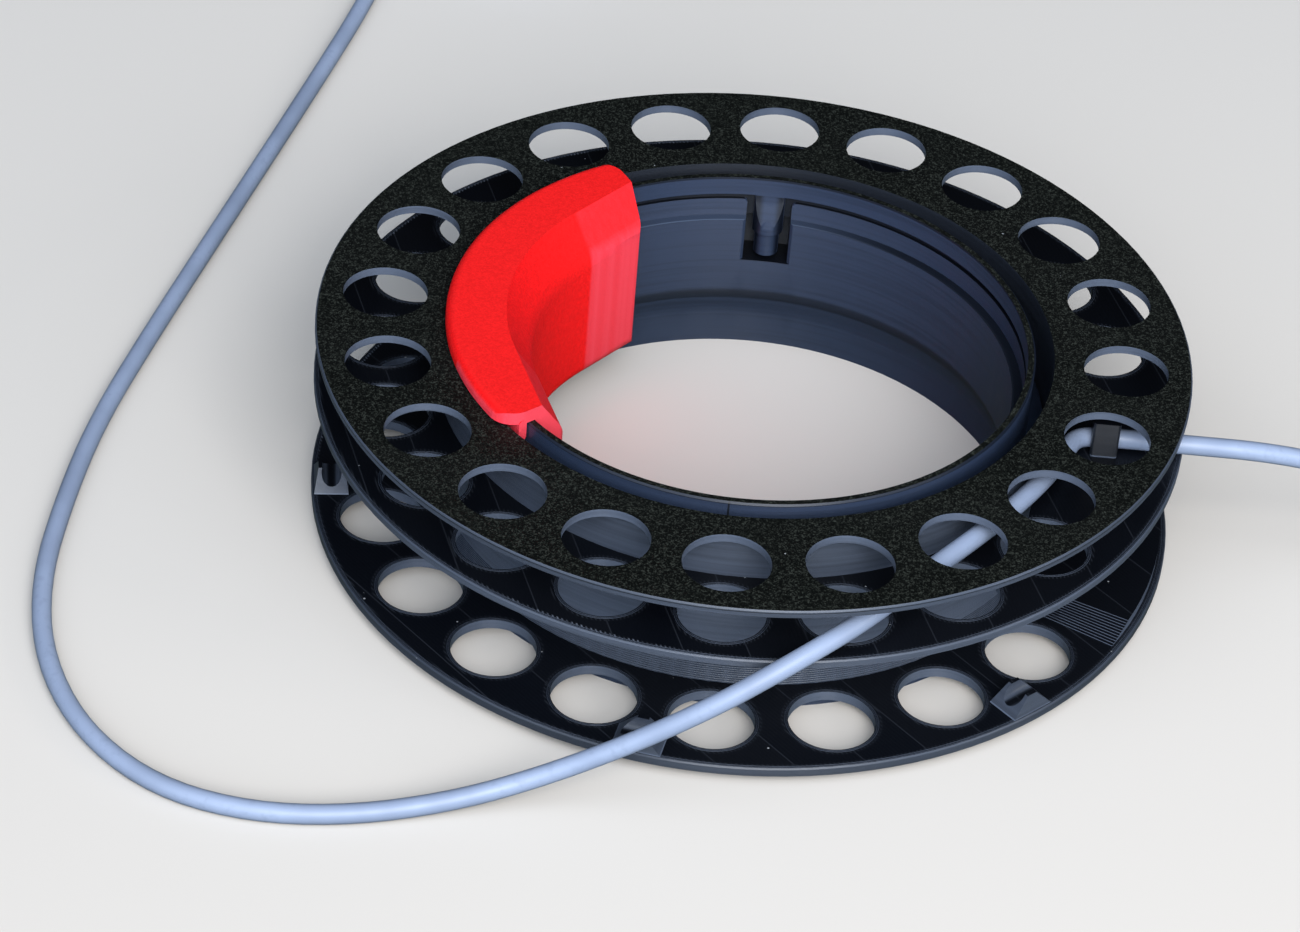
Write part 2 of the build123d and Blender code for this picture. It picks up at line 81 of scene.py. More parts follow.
# %% [markdown]
# ## Cable
# The cable is a four-pair network cable of 5.6 mm. It lies on the floor to the left, climbs
# into the upper space between two flanges, passes the keeper and leaves to the right. A NURBS
# curve of order 3 suits it: the points are the corners of a loose line, and the curve rounds
# every one of them without ever bulging past them. Both halves start inside the keeper.

# %% Cable route
CABLE_D = 5.6
CABLE_R = CABLE_D / 2
HELD_Z = 47.2
LEFT_ROUTE = [
    (104.0, -17.2, HELD_Z), (96.6, -17.2, HELD_Z), (92.6, -19.6, 47.5), (90.3, -24.9, 48.2),
    (86.3, -36.2, 49.7), (78.5, -52.5, 51.6), (65.0, -73.5, 53.0), (50.5, -91.5, 52.8),
    (35.0, -111.5, 51.3), (17.0, -127.8, 48.4), (-3.0, -135.8, 37.5), (-24.0, -138.0, 24.0),
    (-46.0, -139.0, 11.0), (-70.0, -145.0, 4.0),
    (-98.0, -153.3, CABLE_R), (-126.0, -155.2, CABLE_R), (-152.0, -147.6, CABLE_R),
    (-174.0, -127.6, CABLE_R), (-188.6, -99.0, CABLE_R), (-194.6, -66.0, CABLE_R),
    (-193.6, -30.0, CABLE_R), (-190.0, 8.0, CABLE_R), (-181.0, 52.0, CABLE_R),
    (-169.5, 103.0, CABLE_R), (-156.5, 160.0, CABLE_R), (-145.0, 211.0, CABLE_R),
    (-137.5, 246.0, CABLE_R), (-133.2, 272.0, CABLE_R), (-131.5, 296.0, CABLE_R),
]
RIGHT_ROUTE = [
    (104.0, -17.2, HELD_Z), (113.0, -17.2, HELD_Z), (127.0, -18.3, 47.8), (145.0, -16.8, 46.6),
    (165.5, -12.0, 41.0), (186.0, -9.5, 30.0), (206.0, -9.0, 17.0), (225.0, -10.2, 6.6),
    (242.0, -12.0, CABLE_R), (256.0, -12.6, CABLE_R),
]
print("route points", len(LEFT_ROUTE), "and", len(RIGHT_ROUTE))

# %% [markdown]
# The rest of each half is wound up as a neat coil, just out of the picture. The turns fill
# three columns and three layers like thread on a bobbin, and the last turn lies on top and
# carries the plug. A loop works the points out: each turn keeps its place for most of the way
# round and moves over to the next place in the last sixth.

# %% Coil turns
COIL_R = 33.0
COIL_CENTRE_Y = COIL_R + CABLE_D
COIL_LEAD = 24.0
LEAD_IN_SHARE = 0.55
TURN_POINTS = 16
SHIFT_SHARE = 1 / 6
INNER_BULGE = 0.35
SLOTS = [(0, 0), (1, 0), (2, 0), (2, 1), (1, 1), (0, 1), (0, 2), (1, 2), (2, 2), (2, 3), (2, 3)]
LAST_TURN_SHARE = 0.75
TOTAL_TURNS = len(SLOTS) - 2 + LAST_TURN_SHARE
PLUG_REST_Z = 20.4
RISE_TURNS = 0.25


def slot_place(turn):
    """Radius and height of the cable at a number of turns, such as 3.25."""
    index = int(turn)
    share = max(0.0, (turn - index - (1 - SHIFT_SHARE)) / SHIFT_SHARE)
    share = share * share * (3 - 2 * share)
    here, after = SLOTS[index], SLOTS[min(index + 1, len(SLOTS) - 1)]
    column = here[0] + (after[0] - here[0]) * share
    layer = here[1] + (after[1] - here[1]) * share
    bulge = 0.0
    if here[1] != after[1] and here[0] > 0:
        bulge = -INNER_BULGE * math.sin(math.pi * share)
    radius = COIL_R + (1 - column + bulge) * CABLE_D
    return radius, CABLE_R + layer * CABLE_D


def turn_angle(turn):
    """Angle round the coil's middle after a number of turns."""
    return 2 * math.pi * turn - math.pi / 2


def on_coil(turn, radius, height):
    """Place in the coil's own frame after a number of turns."""
    x = COIL_LEAD + radius * math.cos(turn_angle(turn))
    y = COIL_CENTRE_Y + radius * math.sin(turn_angle(turn))
    return x, y, height


print("turns in a coil", TOTAL_TURNS)

# %% [markdown]
# Both coils are worked out once, in a frame of their own, where the cable comes in along X.
# A matrix lays that frame at the end of either half, and mirrors it for the left one. The
# points stand a little outside the wanted circle, because a curve of order 3 cuts its corners.

# %% Coil points
def coil_frame(route, side):
    """Matrix from a coil's own frame, in millimetres, to the end of a route: side 1 winds left."""
    end, before = Vector(route[-1]), Vector(route[-2])
    heading = math.atan2(end.y - before.y, end.x - before.x)
    place = Matrix.Translation((end.x, end.y, 0)) @ Matrix.Rotation(heading, 4, "Z")
    if side < 0:
        place = place @ Matrix.Scale(-1, 4, (0, 1, 0))
    return place


def coil_points(route, side):
    """Points of the coil that winds on from the end of a route."""
    swell = 1 / math.cos(math.pi / TURN_POINTS)
    points = [(COIL_LEAD * LEAD_IN_SHARE, 0, CABLE_R)]
    for step in range(int(TOTAL_TURNS * TURN_POINTS) + 1):
        turn = step / TURN_POINTS
        radius, height = slot_place(turn)
        rise = max(0.0, 1 - (TOTAL_TURNS - turn) / RISE_TURNS)
        height += (PLUG_REST_Z - height) * rise
        points.append(on_coil(turn, radius * swell, height))
    last_radius, _ = slot_place(TOTAL_TURNS)
    points.append(on_coil(TOTAL_TURNS, last_radius, PLUG_REST_Z))
    place = coil_frame(route, side)
    return [tuple(place @ Vector(point)) for point in points]


print("points in a coil", len(coil_points(LEFT_ROUTE, -1)))

# %% [markdown]
# A curve object with a round bevel turns the points into a cable. The length is measured on a
# bare copy of the curve, without its bevel.

# %% Make the two cable halves
def cable_curve(name, points):
    """Round cable along a NURBS curve through a list of points in millimetres."""
    curve = bpy.data.curves.new(name, "CURVE")
    curve.dimensions = "3D"
    curve.resolution_u = 5
    curve.bevel_depth = 1
    curve.bevel_resolution = 5
    curve.use_fill_caps = True
    spline = curve.splines.new("NURBS")
    spline.points.add(len(points) - 1)
    for point, place in zip(spline.points, points):
        point.co = (*(Vector(place) * MM), 1)
        point.radius = CABLE_R * MM
    spline.order_u = 3
    spline.use_endpoint_u = True
    spline.use_smooth = True
    piece = bpy.data.objects.new(name, curve)
    scene.collection.objects.link(piece)
    return piece


def line_length(piece):
    """Length of a curve piece along its middle, in metres."""
    bare = piece.data.copy()
    bare.bevel_depth = 0
    probe = bpy.data.objects.new("probe", bare)
    mesh = bpy.data.meshes.new_from_object(probe)
    places = np.array([vertex.co for vertex in mesh.vertices])
    bpy.data.objects.remove(probe)
    bpy.data.curves.remove(bare)
    bpy.data.meshes.remove(mesh)
    return float(np.linalg.norm(np.diff(places, axis=0), axis=1).sum())


ENDS = {"left": (LEFT_ROUTE, -1), "right": (RIGHT_ROUTE, 1)}
cables = {}
for end_name, (route, side) in ENDS.items():
    piece = cable_curve(f"network_cable_{end_name}", route + coil_points(route, side))
    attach(piece, "spool")
    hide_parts(f"cable_{end_name}", f"coil_{end_name}")
    cables[end_name] = piece
    length = line_length(piece)
    print(piece.name, "length", round(length, 3), "m")

# %% [markdown]
# ## Building with nodes
# Materials and Geometry Nodes are both trees of nodes, and both get long when every link is
# written out. Small helpers keep them readable: one feeds a socket with a number or with
# another socket, and the others add a node of arithmetic and hand back its result, so a
# formula can be written almost as on paper.

# %% Helpers: arithmetic with nodes
def feed(tree, socket, value):
    """Link a socket to another one, or set its plain value."""
    if isinstance(value, bpy.types.NodeSocket):
        tree.links.new(value, socket)
    else:
        socket.default_value = value


def maths(tree, operation, *values):
    """One Math node on numbers or sockets."""
    node = tree.nodes.new("ShaderNodeMath")
    node.operation = operation
    for socket, value in zip(node.inputs, values):
        feed(tree, socket, value)
    return node.outputs[0]


def times(tree, first, *others):
    """Product of several numbers or sockets."""
    for other in others:
        first = maths(tree, "MULTIPLY", first, other)
    return first


def above(tree, value, limit):
    """1 where a value is over a limit, and 0 elsewhere."""
    return maths(tree, "GREATER_THAN", value, limit)


def below(tree, value, limit):
    """1 where a value is under a limit, and 0 elsewhere."""
    return maths(tree, "LESS_THAN", value, limit)


def gap_to(tree, value, centre):
    """How far a value is from a centre, on either side."""
    return maths(tree, "ABSOLUTE", maths(tree, "SUBTRACT", value, centre))


print("arithmetic helpers ready")

# %% Helpers: vectors and places
def vector_maths(tree, operation, *values):
    """One Vector Math node on vectors or sockets."""
    node = tree.nodes.new("ShaderNodeVectorMath")
    node.operation = operation
    for socket, value in zip(node.inputs, values):
        feed(tree, socket, value)
    return node.outputs["Vector"]


def vector_of(tree, x, y, z):
    """A vector from three numbers or sockets."""
    node = tree.nodes.new("ShaderNodeCombineXYZ")
    for socket, value in zip(node.inputs, (x, y, z)):
        feed(tree, socket, value)
    return node.outputs[0]


def parts_of(tree, vector):
    """The X, Y and Z sockets of a vector."""
    node = tree.nodes.new("ShaderNodeSeparateXYZ")
    feed(tree, node.inputs[0], vector)
    return node.outputs


def turned(tree, vector, kind, start, end):
    """A vector or a normal, turned from one space into another."""
    node = tree.nodes.new("ShaderNodeVectorTransform")
    node.vector_type = kind
    node.convert_from = start
    node.convert_to = end
    feed(tree, node.inputs[0], vector)
    return node.outputs[0]


def object_place(tree):
    """Object coordinates: they stay with the piece when it turns."""
    return tree.nodes.new("ShaderNodeTexCoord").outputs["Object"]


def face_normal(tree):
    """Normal of the shaded surface, in world space."""
    return tree.nodes.new("ShaderNodeNewGeometry").outputs["Normal"]


def radius_of(tree, x, y):
    """Distance from the reel's axis."""
    square = maths(tree, "ADD", times(tree, x, x), times(tree, y, y))
    return maths(tree, "SQRT", square)


print("vector helpers ready")

# %% Helpers: ramps, mixes, noise and bumps
def ramp(tree, value, low, high, bottom=0.0, top=1.0):
    """Smooth step from bottom to top while value goes from low to high."""
    node = tree.nodes.new("ShaderNodeMapRange")
    node.interpolation_type = "SMOOTHSTEP"
    for name, amount in (("Value", value), ("From Min", low), ("From Max", high),
                         ("To Min", bottom), ("To Max", top)):
        feed(tree, node.inputs[name], amount)
    return node.outputs["Result"]


def mix_colour(tree, share, first, second):
    """Colour between two colours, by a share from 0 to 1."""
    node = tree.nodes.new("ShaderNodeMix")
    node.data_type = "RGBA"
    feed(tree, node.inputs["Factor"], share)
    for socket, value in zip([s for s in node.inputs if s.type == "RGBA"], (first, second)):
        feed(tree, socket, value if isinstance(value, bpy.types.NodeSocket) else (*value, 1))
    return [s for s in node.outputs if s.type == "RGBA"][0]


def noise(tree, place, scale, detail=2.0, roughness=0.5):
    """Value of a soft noise with features of about 1 / scale metres."""
    node = tree.nodes.new("ShaderNodeTexNoise")
    feed(tree, node.inputs["Vector"], place)
    for name, amount in (("Scale", scale), ("Detail", detail), ("Roughness", roughness)):
        feed(tree, node.inputs[name], amount)
    return node.outputs[0]


def bump(tree, height, normal, strength):
    """Normal of a surface with fine grain, up to a quarter of a millimetre high."""
    node = tree.nodes.new("ShaderNodeBump")
    node.inputs["Distance"].default_value = 0.25 * MM
    node.inputs["Strength"].default_value = strength
    feed(tree, node.inputs["Height"], height)
    feed(tree, node.inputs["Normal"], normal)
    return node.outputs["Normal"]


print("shading helpers ready")

# %% [markdown]
# ## Effects that materials share
# An effect that several materials use is a node group: it is built once, and each material
# places it with its own values. Two helpers do that. A group hands out only masks, values and
# normals, and the shader that uses them stays in the material.

# %% Helpers: shader groups
def shader_group(name, inputs, outputs):
    """New shader group: returns the tree, the sockets that come in and those that go out."""
    tree = bpy.data.node_groups.new(name, "ShaderNodeTree")
    for title, value in inputs.items():
        socket = tree.interface.new_socket(title, in_out="INPUT", socket_type="NodeSocketFloat")
        socket.default_value = value
    for title, kind in outputs.items():
        tree.interface.new_socket(title, in_out="OUTPUT", socket_type=kind)
    enter = tree.nodes.new("NodeGroupInput")
    leave = tree.nodes.new("NodeGroupOutput")
    return tree, enter.outputs, leave.inputs


def place_group(tree, name, values):
    """Put a shader group in a tree with its own values and hand back its outputs."""
    node = tree.nodes.new("ShaderNodeGroup")
    node.node_tree = bpy.data.node_groups[name]
    for title, value in values.items():
        feed(tree, node.inputs[title], value)
    return node.outputs


FLOAT, VECTOR, WHOLE = "NodeSocketFloat", "NodeSocketVector", "NodeSocketInt"
print("group helpers ready")

# %% [markdown]
# ## Layer lines
# Every wall of a printed part is a stack of rounded beads a quarter of a millimetre high. A
# bump map would need the beads to be larger than a pixel, so the group tilts the normal itself:
# the normal swings up and down with a sine of the height, and only on steep faces. The walls
# then catch the sky as the real ones do. The black materials also paint the walls lighter than
# the flat faces, as a painted sheen.

# %% Shader group: layer lines
LAYER_H = 0.25
FLAT_UP, STEEP_UP = 0.985, 0.80
STREAK_SCALE = (14.0, 14.0, 900.0)

tree, given, result = shader_group(
    "layer lines",
    {"Layer height": LAYER_H * MM, "Tilt": 0.8},
    {"Normal": VECTOR, "Wall": FLOAT, "Streak": FLOAT},
)
x, y, z = parts_of(tree, object_place(tree))
normal = face_normal(tree)
up = parts_of(tree, normal)[2]
wall = ramp(tree, maths(tree, "ABSOLUTE", up), FLAT_UP, STEEP_UP)
phase = maths(tree, "DIVIDE", times(tree, z, 2 * math.pi), given["Layer height"])
tilt = times(tree, maths(tree, "SINE", phase), given["Tilt"], wall)
tilted = vector_maths(tree, "ADD", normal, vector_of(tree, 0.0, 0.0, tilt))
stretched = [times(tree, part, scale) for part, scale in zip((x, y, z), STREAK_SCALE)]
tree.links.new(vector_maths(tree, "NORMALIZE", tilted), result["Normal"])
tree.links.new(wall, result["Wall"])
tree.links.new(noise(tree, vector_of(tree, *stretched), 1.0), result["Streak"])
print("group", tree.name, len(tree.nodes), "nodes")

# %% [markdown]
# ## Rows of plastic
# A flat printed face is filled with straight rows side by side. They turn the normal a little
# to both sides, all in one direction, and neighbouring areas that were filled at another time
# shine a shade differently, with a straight border along the rows. The group works in the
# piece's own frame and turns its tilt into world space, so that it stays right on the hub.

# %% Shader group: rows of plastic
ROW_W = 1.1
ZONE_W = 17.0
BORDER_FROM, BORDER_TO = 0.485, 0.495

tree, given, result = shader_group(
    "rows of plastic",
    {"Row width": ROW_W * MM, "Direction": 0.0, "Tilt": 0.035, "Zone width": ZONE_W * MM},
    {"Tilt": VECTOR, "Row": FLOAT, "Zone": FLOAT, "Border": FLOAT, "Row end glints": FLOAT},
)
x, y, _ = parts_of(tree, object_place(tree))
side_x = maths(tree, "SINE", given["Direction"])
side_y = times(tree, maths(tree, "COSINE", given["Direction"]), -1.0)
across = maths(tree, "ADD", times(tree, x, side_x), times(tree, y, side_y))
phase = maths(tree, "DIVIDE", times(tree, across, 2 * math.pi), given["Row width"])
row = maths(tree, "SINE", phase)
push = times(tree, row, given["Tilt"])
own_tilt = vector_of(tree, times(tree, side_x, push), times(tree, side_y, push), 0.0)
tree.links.new(turned(tree, own_tilt, "VECTOR", "OBJECT", "WORLD"), result["Tilt"])
tree.links.new(row, result["Row"])
print("row width", ROW_W, "mm")

# %% [markdown]
# Borders and row ends belong to the same rows, so they join the same group. White noise on the
# zone's whole number gives each zone its own shine. A row's end is a real mark whose lighter
# tone is a painted glint: it shows best where the row meets the rim squarely, it is worn in
# places, and the glint is painted stronger on the left side of the reel.

# %% Zones, borders and row ends
SQUARE_FROM, SQUARE_FULL = 0.90, 0.60
WORN_SCALE = 350.0
GLINT_FROM_X, GLINT_FULL_X = 0.0, -40.0

share = maths(tree, "DIVIDE", across, given["Zone width"])
zone = tree.nodes.new("ShaderNodeTexWhiteNoise")
zone.noise_dimensions = "1D"
tree.links.new(maths(tree, "FLOOR", share), zone.inputs["W"])
from_middle = gap_to(tree, maths(tree, "FRACT", share), 0.5)
slant = maths(tree, "ABSOLUTE", maths(tree, "DIVIDE", across, radius_of(tree, x, y)))
square = ramp(tree, slant, SQUARE_FROM, SQUARE_FULL)
worn = ramp(tree, noise(tree, vector_of(tree, x, y, 0.0), WORN_SCALE), 0.35, 0.62, 0.15, 1.0)
# Painted glint: the row ends are painted lighter on the left side.
left = ramp(tree, x, GLINT_FROM_X, GLINT_FULL_X * MM, 0.1, 0.75)
tree.links.new(zone.outputs["Value"], result["Zone"])
tree.links.new(ramp(tree, from_middle, BORDER_FROM, BORDER_TO), result["Border"])
tree.links.new(times(tree, square, worn, left), result["Row end glints"])
print("group", tree.name, len(tree.nodes), "nodes")

# %% [markdown]
# ## Distance to the nearest edge of a flange
# Marks on a flange follow its holes and its rim. All holes are alike and evenly spaced, so the
# group folds the angle back onto one hole and works out the distance to it with the cosine
# rule, which costs the same for one hole as for twenty. A stretch without holes is named by
# the angles of its ends, and there the distance grows by a whole metre.

# %% Shader group: flange web
tree, given, result = shader_group(
    "flange web",
    {"Pitch radius": 0.1, "Hole radius": 0.01, "First hole": 0.0, "Hole step": 0.3,
     "Rim radius": 0.12, "Closed from": 0.0, "Closed to": 0.0},
    {"Web": FLOAT, "From rim": FLOAT},
)
x, y, _ = parts_of(tree, object_place(tree))
angle = maths(tree, "ARCTAN2", y, x)
radius = radius_of(tree, x, y)
half_step = maths(tree, "DIVIDE", given["Hole step"], 2.0)
folded = maths(tree, "WRAP", maths(tree, "SUBTRACT", angle, given["First hole"]), half_step,
               times(tree, half_step, -1.0))
pitch = given["Pitch radius"]
squares = maths(tree, "ADD", times(tree, radius, radius), times(tree, pitch, pitch))
product = times(tree, radius, pitch, 2.0, maths(tree, "COSINE", folded))
to_centre = maths(tree, "SQRT", maths(tree, "SUBTRACT", squares, product))
from_hole = maths(tree, "SUBTRACT", to_centre, given["Hole radius"])
closed = times(tree, above(tree, angle, given["Closed from"]), below(tree, angle, given["Closed to"]))
from_hole = maths(tree, "ADD", from_hole, closed)
from_rim = maths(tree, "SUBTRACT", given["Rim radius"], radius)
tree.links.new(maths(tree, "MINIMUM", from_hole, from_rim), result["Web"])
tree.links.new(from_rim, result["From rim"])
print("group", tree.name, len(tree.nodes), "nodes")

# %% [markdown]
# ## Plate grain
# The top of the reel was printed face down on a textured plate, which leaves a fine, even
# grain like sandpaper. Two noises of different size make its height, and its highest points
# are the lighter specks.

# %% Shader group: plate grain
GRAIN_SIZE = 0.5
SPECK_FROM, SPECK_FULL = 0.72, 0.98

tree, given, result = shader_group(
    "plate grain",
    {"Grain size": GRAIN_SIZE * MM},
    {"Height": FLOAT, "Speck": FLOAT},
)
place = object_place(tree)
fine = noise(tree, place, maths(tree, "DIVIDE", 1.0, given["Grain size"]), 3.0, 0.65)
coarse = noise(tree, place, maths(tree, "DIVIDE", 0.45, given["Grain size"]))
height = maths(tree, "ADD", fine, times(tree, coarse, 0.5))
tree.links.new(height, result["Height"])
tree.links.new(ramp(tree, height, SPECK_FROM, SPECK_FULL), result["Speck"])
print("group", tree.name, len(tree.nodes), "nodes")

# %% [markdown]
# ## Dust
# A few specks of dust lie on faces that look up. A Voronoi texture scatters cells, only some
# cells are picked, and only the middle of a picked cell becomes a speck. The cell's random
# colour says both whether it is picked and how large its speck is.

# %% Shader group: dust
tree, given, result = shader_group(
    "dust",
    {"Spacing": 5.5 * MM, "Speck size": 0.36 * MM, "Share": 0.65},
    {"Dust": FLOAT},
)
cells = tree.nodes.new("ShaderNodeTexVoronoi")
tree.links.new(object_place(tree), cells.inputs["Vector"])
tree.links.new(maths(tree, "DIVIDE", 1.0, given["Spacing"]), cells.inputs["Scale"])
chance, size_share, _ = parts_of(tree, cells.outputs["Color"])
reach = times(tree, maths(tree, "DIVIDE", given["Speck size"], given["Spacing"]), size_share)
inside = below(tree, cells.outputs["Distance"], reach)
picked = below(tree, chance, given["Share"])
looks_up = ramp(tree, parts_of(tree, face_normal(tree))[2], 0.5, 0.8)
tree.links.new(times(tree, inside, picked, looks_up), result["Dust"])
print("group", tree.name, len(tree.nodes), "nodes")

# %% [markdown]
# ## Black plastic
# All black parts are the same plastic, and it looks black only where it is flat. Walls look far
# lighter, because every bead catches some sky, and how light depends on the place: a wall in a
# narrow gap, in the flared foot or beside the peg sees less of it. That light is painted into
# the colour: the walls get a painted sheen, and those places get painted shade. A painted
# picture could hold such shades, but would have to be unwrapped for every part. Here they are
# worked out from Object coordinates, so they follow the same sizes as the solids. First come
# the places in millimetres, with NEAR for how close to a face still counts as on it, then the
# tones.

# %% Places on the reel
FLANGE_R = 125.0
DRUM_R = 90.0
SPOOL_BORE_R = 85.7
HOLE_PITCH_R = 106.1
HOLE_R = 12.1
HOLE_COUNT = 20
HOLE_STEP_DEG = 360 / HOLE_COUNT
FIRST_HOLE_DEG = 105.8
BOTTOM_TOP_Z = 6.2
MIDDLE_TOP_Z = 44.1
REEL_TOP_Z = 61.4
CLIP_FROM_R = 96.0
HUB_BORE_R = 75.0
LEDGE_Z = 48.3
FLARE_LOW_Z, FLARE_HIGH_Z = 9.9, 23.4
SLOT_X, SLOT_W, SLOT_BOTTOM_Z = 2.6, 13.4, 34.0
RING_BORE_R = 78.1
SKIRT_R = 79.2
RING_FACE_Z = 55.6
RING_TOP_Z = 61.7
SEAM_DEG = -93.2
NEAR = 0.05
print("holes every", HOLE_STEP_DEG, "degrees")

# %% Tones of the black plastic
BLACK = (0.0018, 0.0024, 0.0042)
# Painted sheen: the wall tones are lighter than BLACK in place of the sky that the beads catch.
SPOOL_WALL_SHEEN = (0.090, 0.110, 0.152)
RIB_WALL_SHEEN = (0.036, 0.046, 0.066)
HUB_WALL_SHEEN = (0.026, 0.040, 0.076)
# Painted sheen on the sleeve's ledge, lighter at its edge.
LEDGE_SHEEN = (0.030, 0.042, 0.070)
LEDGE_EDGE_SHEEN = (0.075, 0.098, 0.145)
# Row ends with a painted glint, and zone borders as real marks.
ROW_MARK_AND_GLINT = (0.15, 0.17, 0.21)
RIM_LINE = (0.008, 0.010, 0.014)
GRAIN_BLACK = (0.0014, 0.0019, 0.0015)
GRAIN_LIGHT = (0.034, 0.038, 0.031)
DUST_COLOUR = (0.28, 0.29, 0.30)


def new_material(name):
    """A material with a Principled shader: returns it, its tree and the shader."""
    material = bpy.data.materials.new(name)
    material.use_nodes = True
    return material, material.node_tree, material.node_tree.nodes["Principled BSDF"]


def spot_on(tree):
    """Where the shaded point is: x, y, z and the radius, each as a socket."""
    x, y, z = parts_of(tree, object_place(tree))
    return x, y, z, radius_of(tree, x, y)


print("tones ready")

# %% [markdown]
# ### Shades of the spool
# A function for each print lists its own painted shade. On a flange it darkens the walls of the
# rim, of the bore in its narrow gap, of the upper drum under its flange, and of the clips and the
# keeper. A mask is a product of tests: over this height, beyond that radius.

# %% Shades on a flange's walls
GAP_SHADE = 0.85
UPPER_DRUM_SHADE = 0.33
WALL_MARGIN = 0.5


def spool_light(tree, spot, rim, clip_z=0.0, clip_x=0.0, clip_shade=0.0):
    """Share of the painted wall sheen left on a flange's walls, after painted shade on rim, gap, drum
    and clips.
    """
    x, _, z, radius = spot
    # Painted shade: rim, gap, upper drum and clips keep less of the walls' painted sheen.
    on_rim = above(tree, radius, (FLANGE_R - WALL_MARGIN) * MM)
    in_gap = ramp(tree, radius, (DRUM_R + WALL_MARGIN) * MM, (SPOOL_BORE_R + WALL_MARGIN) * MM,
                  0.0, GAP_SHADE)
    upper_drum = times(tree, below(tree, radius, (DRUM_R + WALL_MARGIN) * MM),
                       above(tree, z, MIDDLE_TOP_Z * MM), UPPER_DRUM_SHADE)
    shade = maths(tree, "ADD", times(tree, on_rim, rim), maths(tree, "MAXIMUM", in_gap, upper_drum))
    on_clip = times(tree, above(tree, z, clip_z * MM), above(tree, radius, CLIP_FROM_R * MM),
                    below(tree, x, clip_x * MM), clip_shade)
    return maths(tree, "SUBTRACT", 1.0, maths(tree, "MAXIMUM", shade, on_clip))


print("gap shade", GAP_SHADE)

# %% [markdown]
# ### Shades of the sleeve
# Inside the sleeve a ledge runs round just below the ring. Its tone is a painted sheen, lighter
# at its edge, and a painted shade fades it to the right. The flared foot of the bore gets painted
# shade, and so does the slot beside the peg. Each is told by its height, its radius or its place
# across, so one function lists them all.

# %% Shades on the sleeve
LEDGE_EDGE_W = (0.7, 0.4)
LEDGE_FADE_X, LEDGE_FADE = (-5.0, 45.0), 0.9
FLARE_START_W, FLARE_END_W = 0.6, (0.5, -1.5)
FLARE_REACH, FLARE_SHADE = 2.0, 0.62
SLOT_SHADE = 0.85


def sleeve_shades(tree, colour, spot, flat):
    """The sleeve's colour with the painted sheen of its ledge and painted shade in its foot and slot.
    """
    x, y, z, radius = spot
    # Painted sheen on the ledge, lighter at its edge, and painted shade fading it to the right.
    edge = ramp(tree, radius, *((HUB_BORE_R + width) * MM for width in LEDGE_EDGE_W))
    ledge_sheen = mix_colour(tree, edge, LEDGE_SHEEN, LEDGE_EDGE_SHEEN)
    ledge_shade = ramp(tree, x, LEDGE_FADE_X[0] * MM, LEDGE_FADE_X[1] * MM, 0.0, LEDGE_FADE)
    ledge_sheen = mix_colour(tree, ledge_shade, ledge_sheen, BLACK)
    on_ledge = times(tree, below(tree, gap_to(tree, z, LEDGE_Z * MM), 2 * NEAR * MM), flat)
    colour = mix_colour(tree, on_ledge, colour, ledge_sheen)
    # Painted shade in the flared foot and in the slot beside the peg.
    flare_end = ((FLARE_HIGH_Z + width) * MM for width in FLARE_END_W)
    in_flare = times(tree, ramp(tree, z, FLARE_LOW_Z * MM, (FLARE_LOW_Z + FLARE_START_W) * MM),
                     ramp(tree, z, *flare_end),
                     below(tree, radius, (HUB_BORE_R + FLARE_REACH) * MM), FLARE_SHADE)
    colour = mix_colour(tree, in_flare, colour, BLACK)
    beside = below(tree, gap_to(tree, x, SLOT_X * MM), (SLOT_W / 2 + NEAR) * MM)
    in_slot = times(tree, above(tree, y, 0.0), beside,
                    above(tree, z, (SLOT_BOTTOM_Z - 2 * NEAR) * MM), SLOT_SHADE)
    return mix_colour(tree, in_slot, colour, BLACK)


print("sleeve shades ready")

# %% [markdown]
# ### Shades of the ring
# The ring has the locking peg, whose round side gets painted shade away from its middle, the
# edge of its skirt with painted shade in the joint's gap, and a dark top edge. A thin dark seam
# runs up its outside, where the printer started every layer: it is found by its angle round the
# axis.

# %% Shades on the ring
PEG_MIDDLE, PEG_SIDE = 1.2, 3.4
SEAM_FROM_DEG, SEAM_FULL_DEG = 0.24, 0.16
TOP_EDGE_FROM, TOP_EDGE_FULL, TOP_EDGE_SHADE = 0.9, 0.6, 0.75
SKIRT_EDGE_W = 6 * NEAR
DEEP = 0.9


def ring_shades(tree, colour, spot):
    """The ring's colour with painted shade on its peg's sides and skirt's edge, and its seam and top
    edge.
    """
    x, y, z, radius = spot
    # Painted shade on the peg's round sides and on the skirt's edge in the joint's gap.
    side = ramp(tree, gap_to(tree, x, SLOT_X * MM), PEG_MIDDLE * MM, PEG_SIDE * MM, 0.0, SLOT_SHADE)
    on_peg = times(tree, below(tree, radius, (RING_BORE_R - NEAR) * MM), side)
    on_skirt = times(tree, below(tree, z, (RING_FACE_Z + 2 * NEAR) * MM),
                     below(tree, gap_to(tree, radius, SKIRT_R * MM), SKIRT_EDGE_W * MM), DEEP)
    off_seam = gap_to(tree, maths(tree, "ARCTAN2", y, x), math.radians(SEAM_DEG))
    seam = times(tree, above(tree, radius, (SKIRT_R + WALL_MARGIN) * MM),
                 ramp(tree, off_seam, math.radians(SEAM_FROM_DEG), math.radians(SEAM_FULL_DEG),
                      0.0, DEEP))
    shade = maths(tree, "MAXIMUM", maths(tree, "MAXIMUM", on_peg, on_skirt), seam)
    colour = mix_colour(tree, shade, colour, BLACK)
    top_edge = ramp(tree, z, (RING_TOP_Z - TOP_EDGE_FROM) * MM, (RING_TOP_Z - TOP_EDGE_FULL) * MM,
                    0.0, TOP_EDGE_SHADE)
    return mix_colour(tree, top_edge, colour, BLACK)


print("ring shades ready")

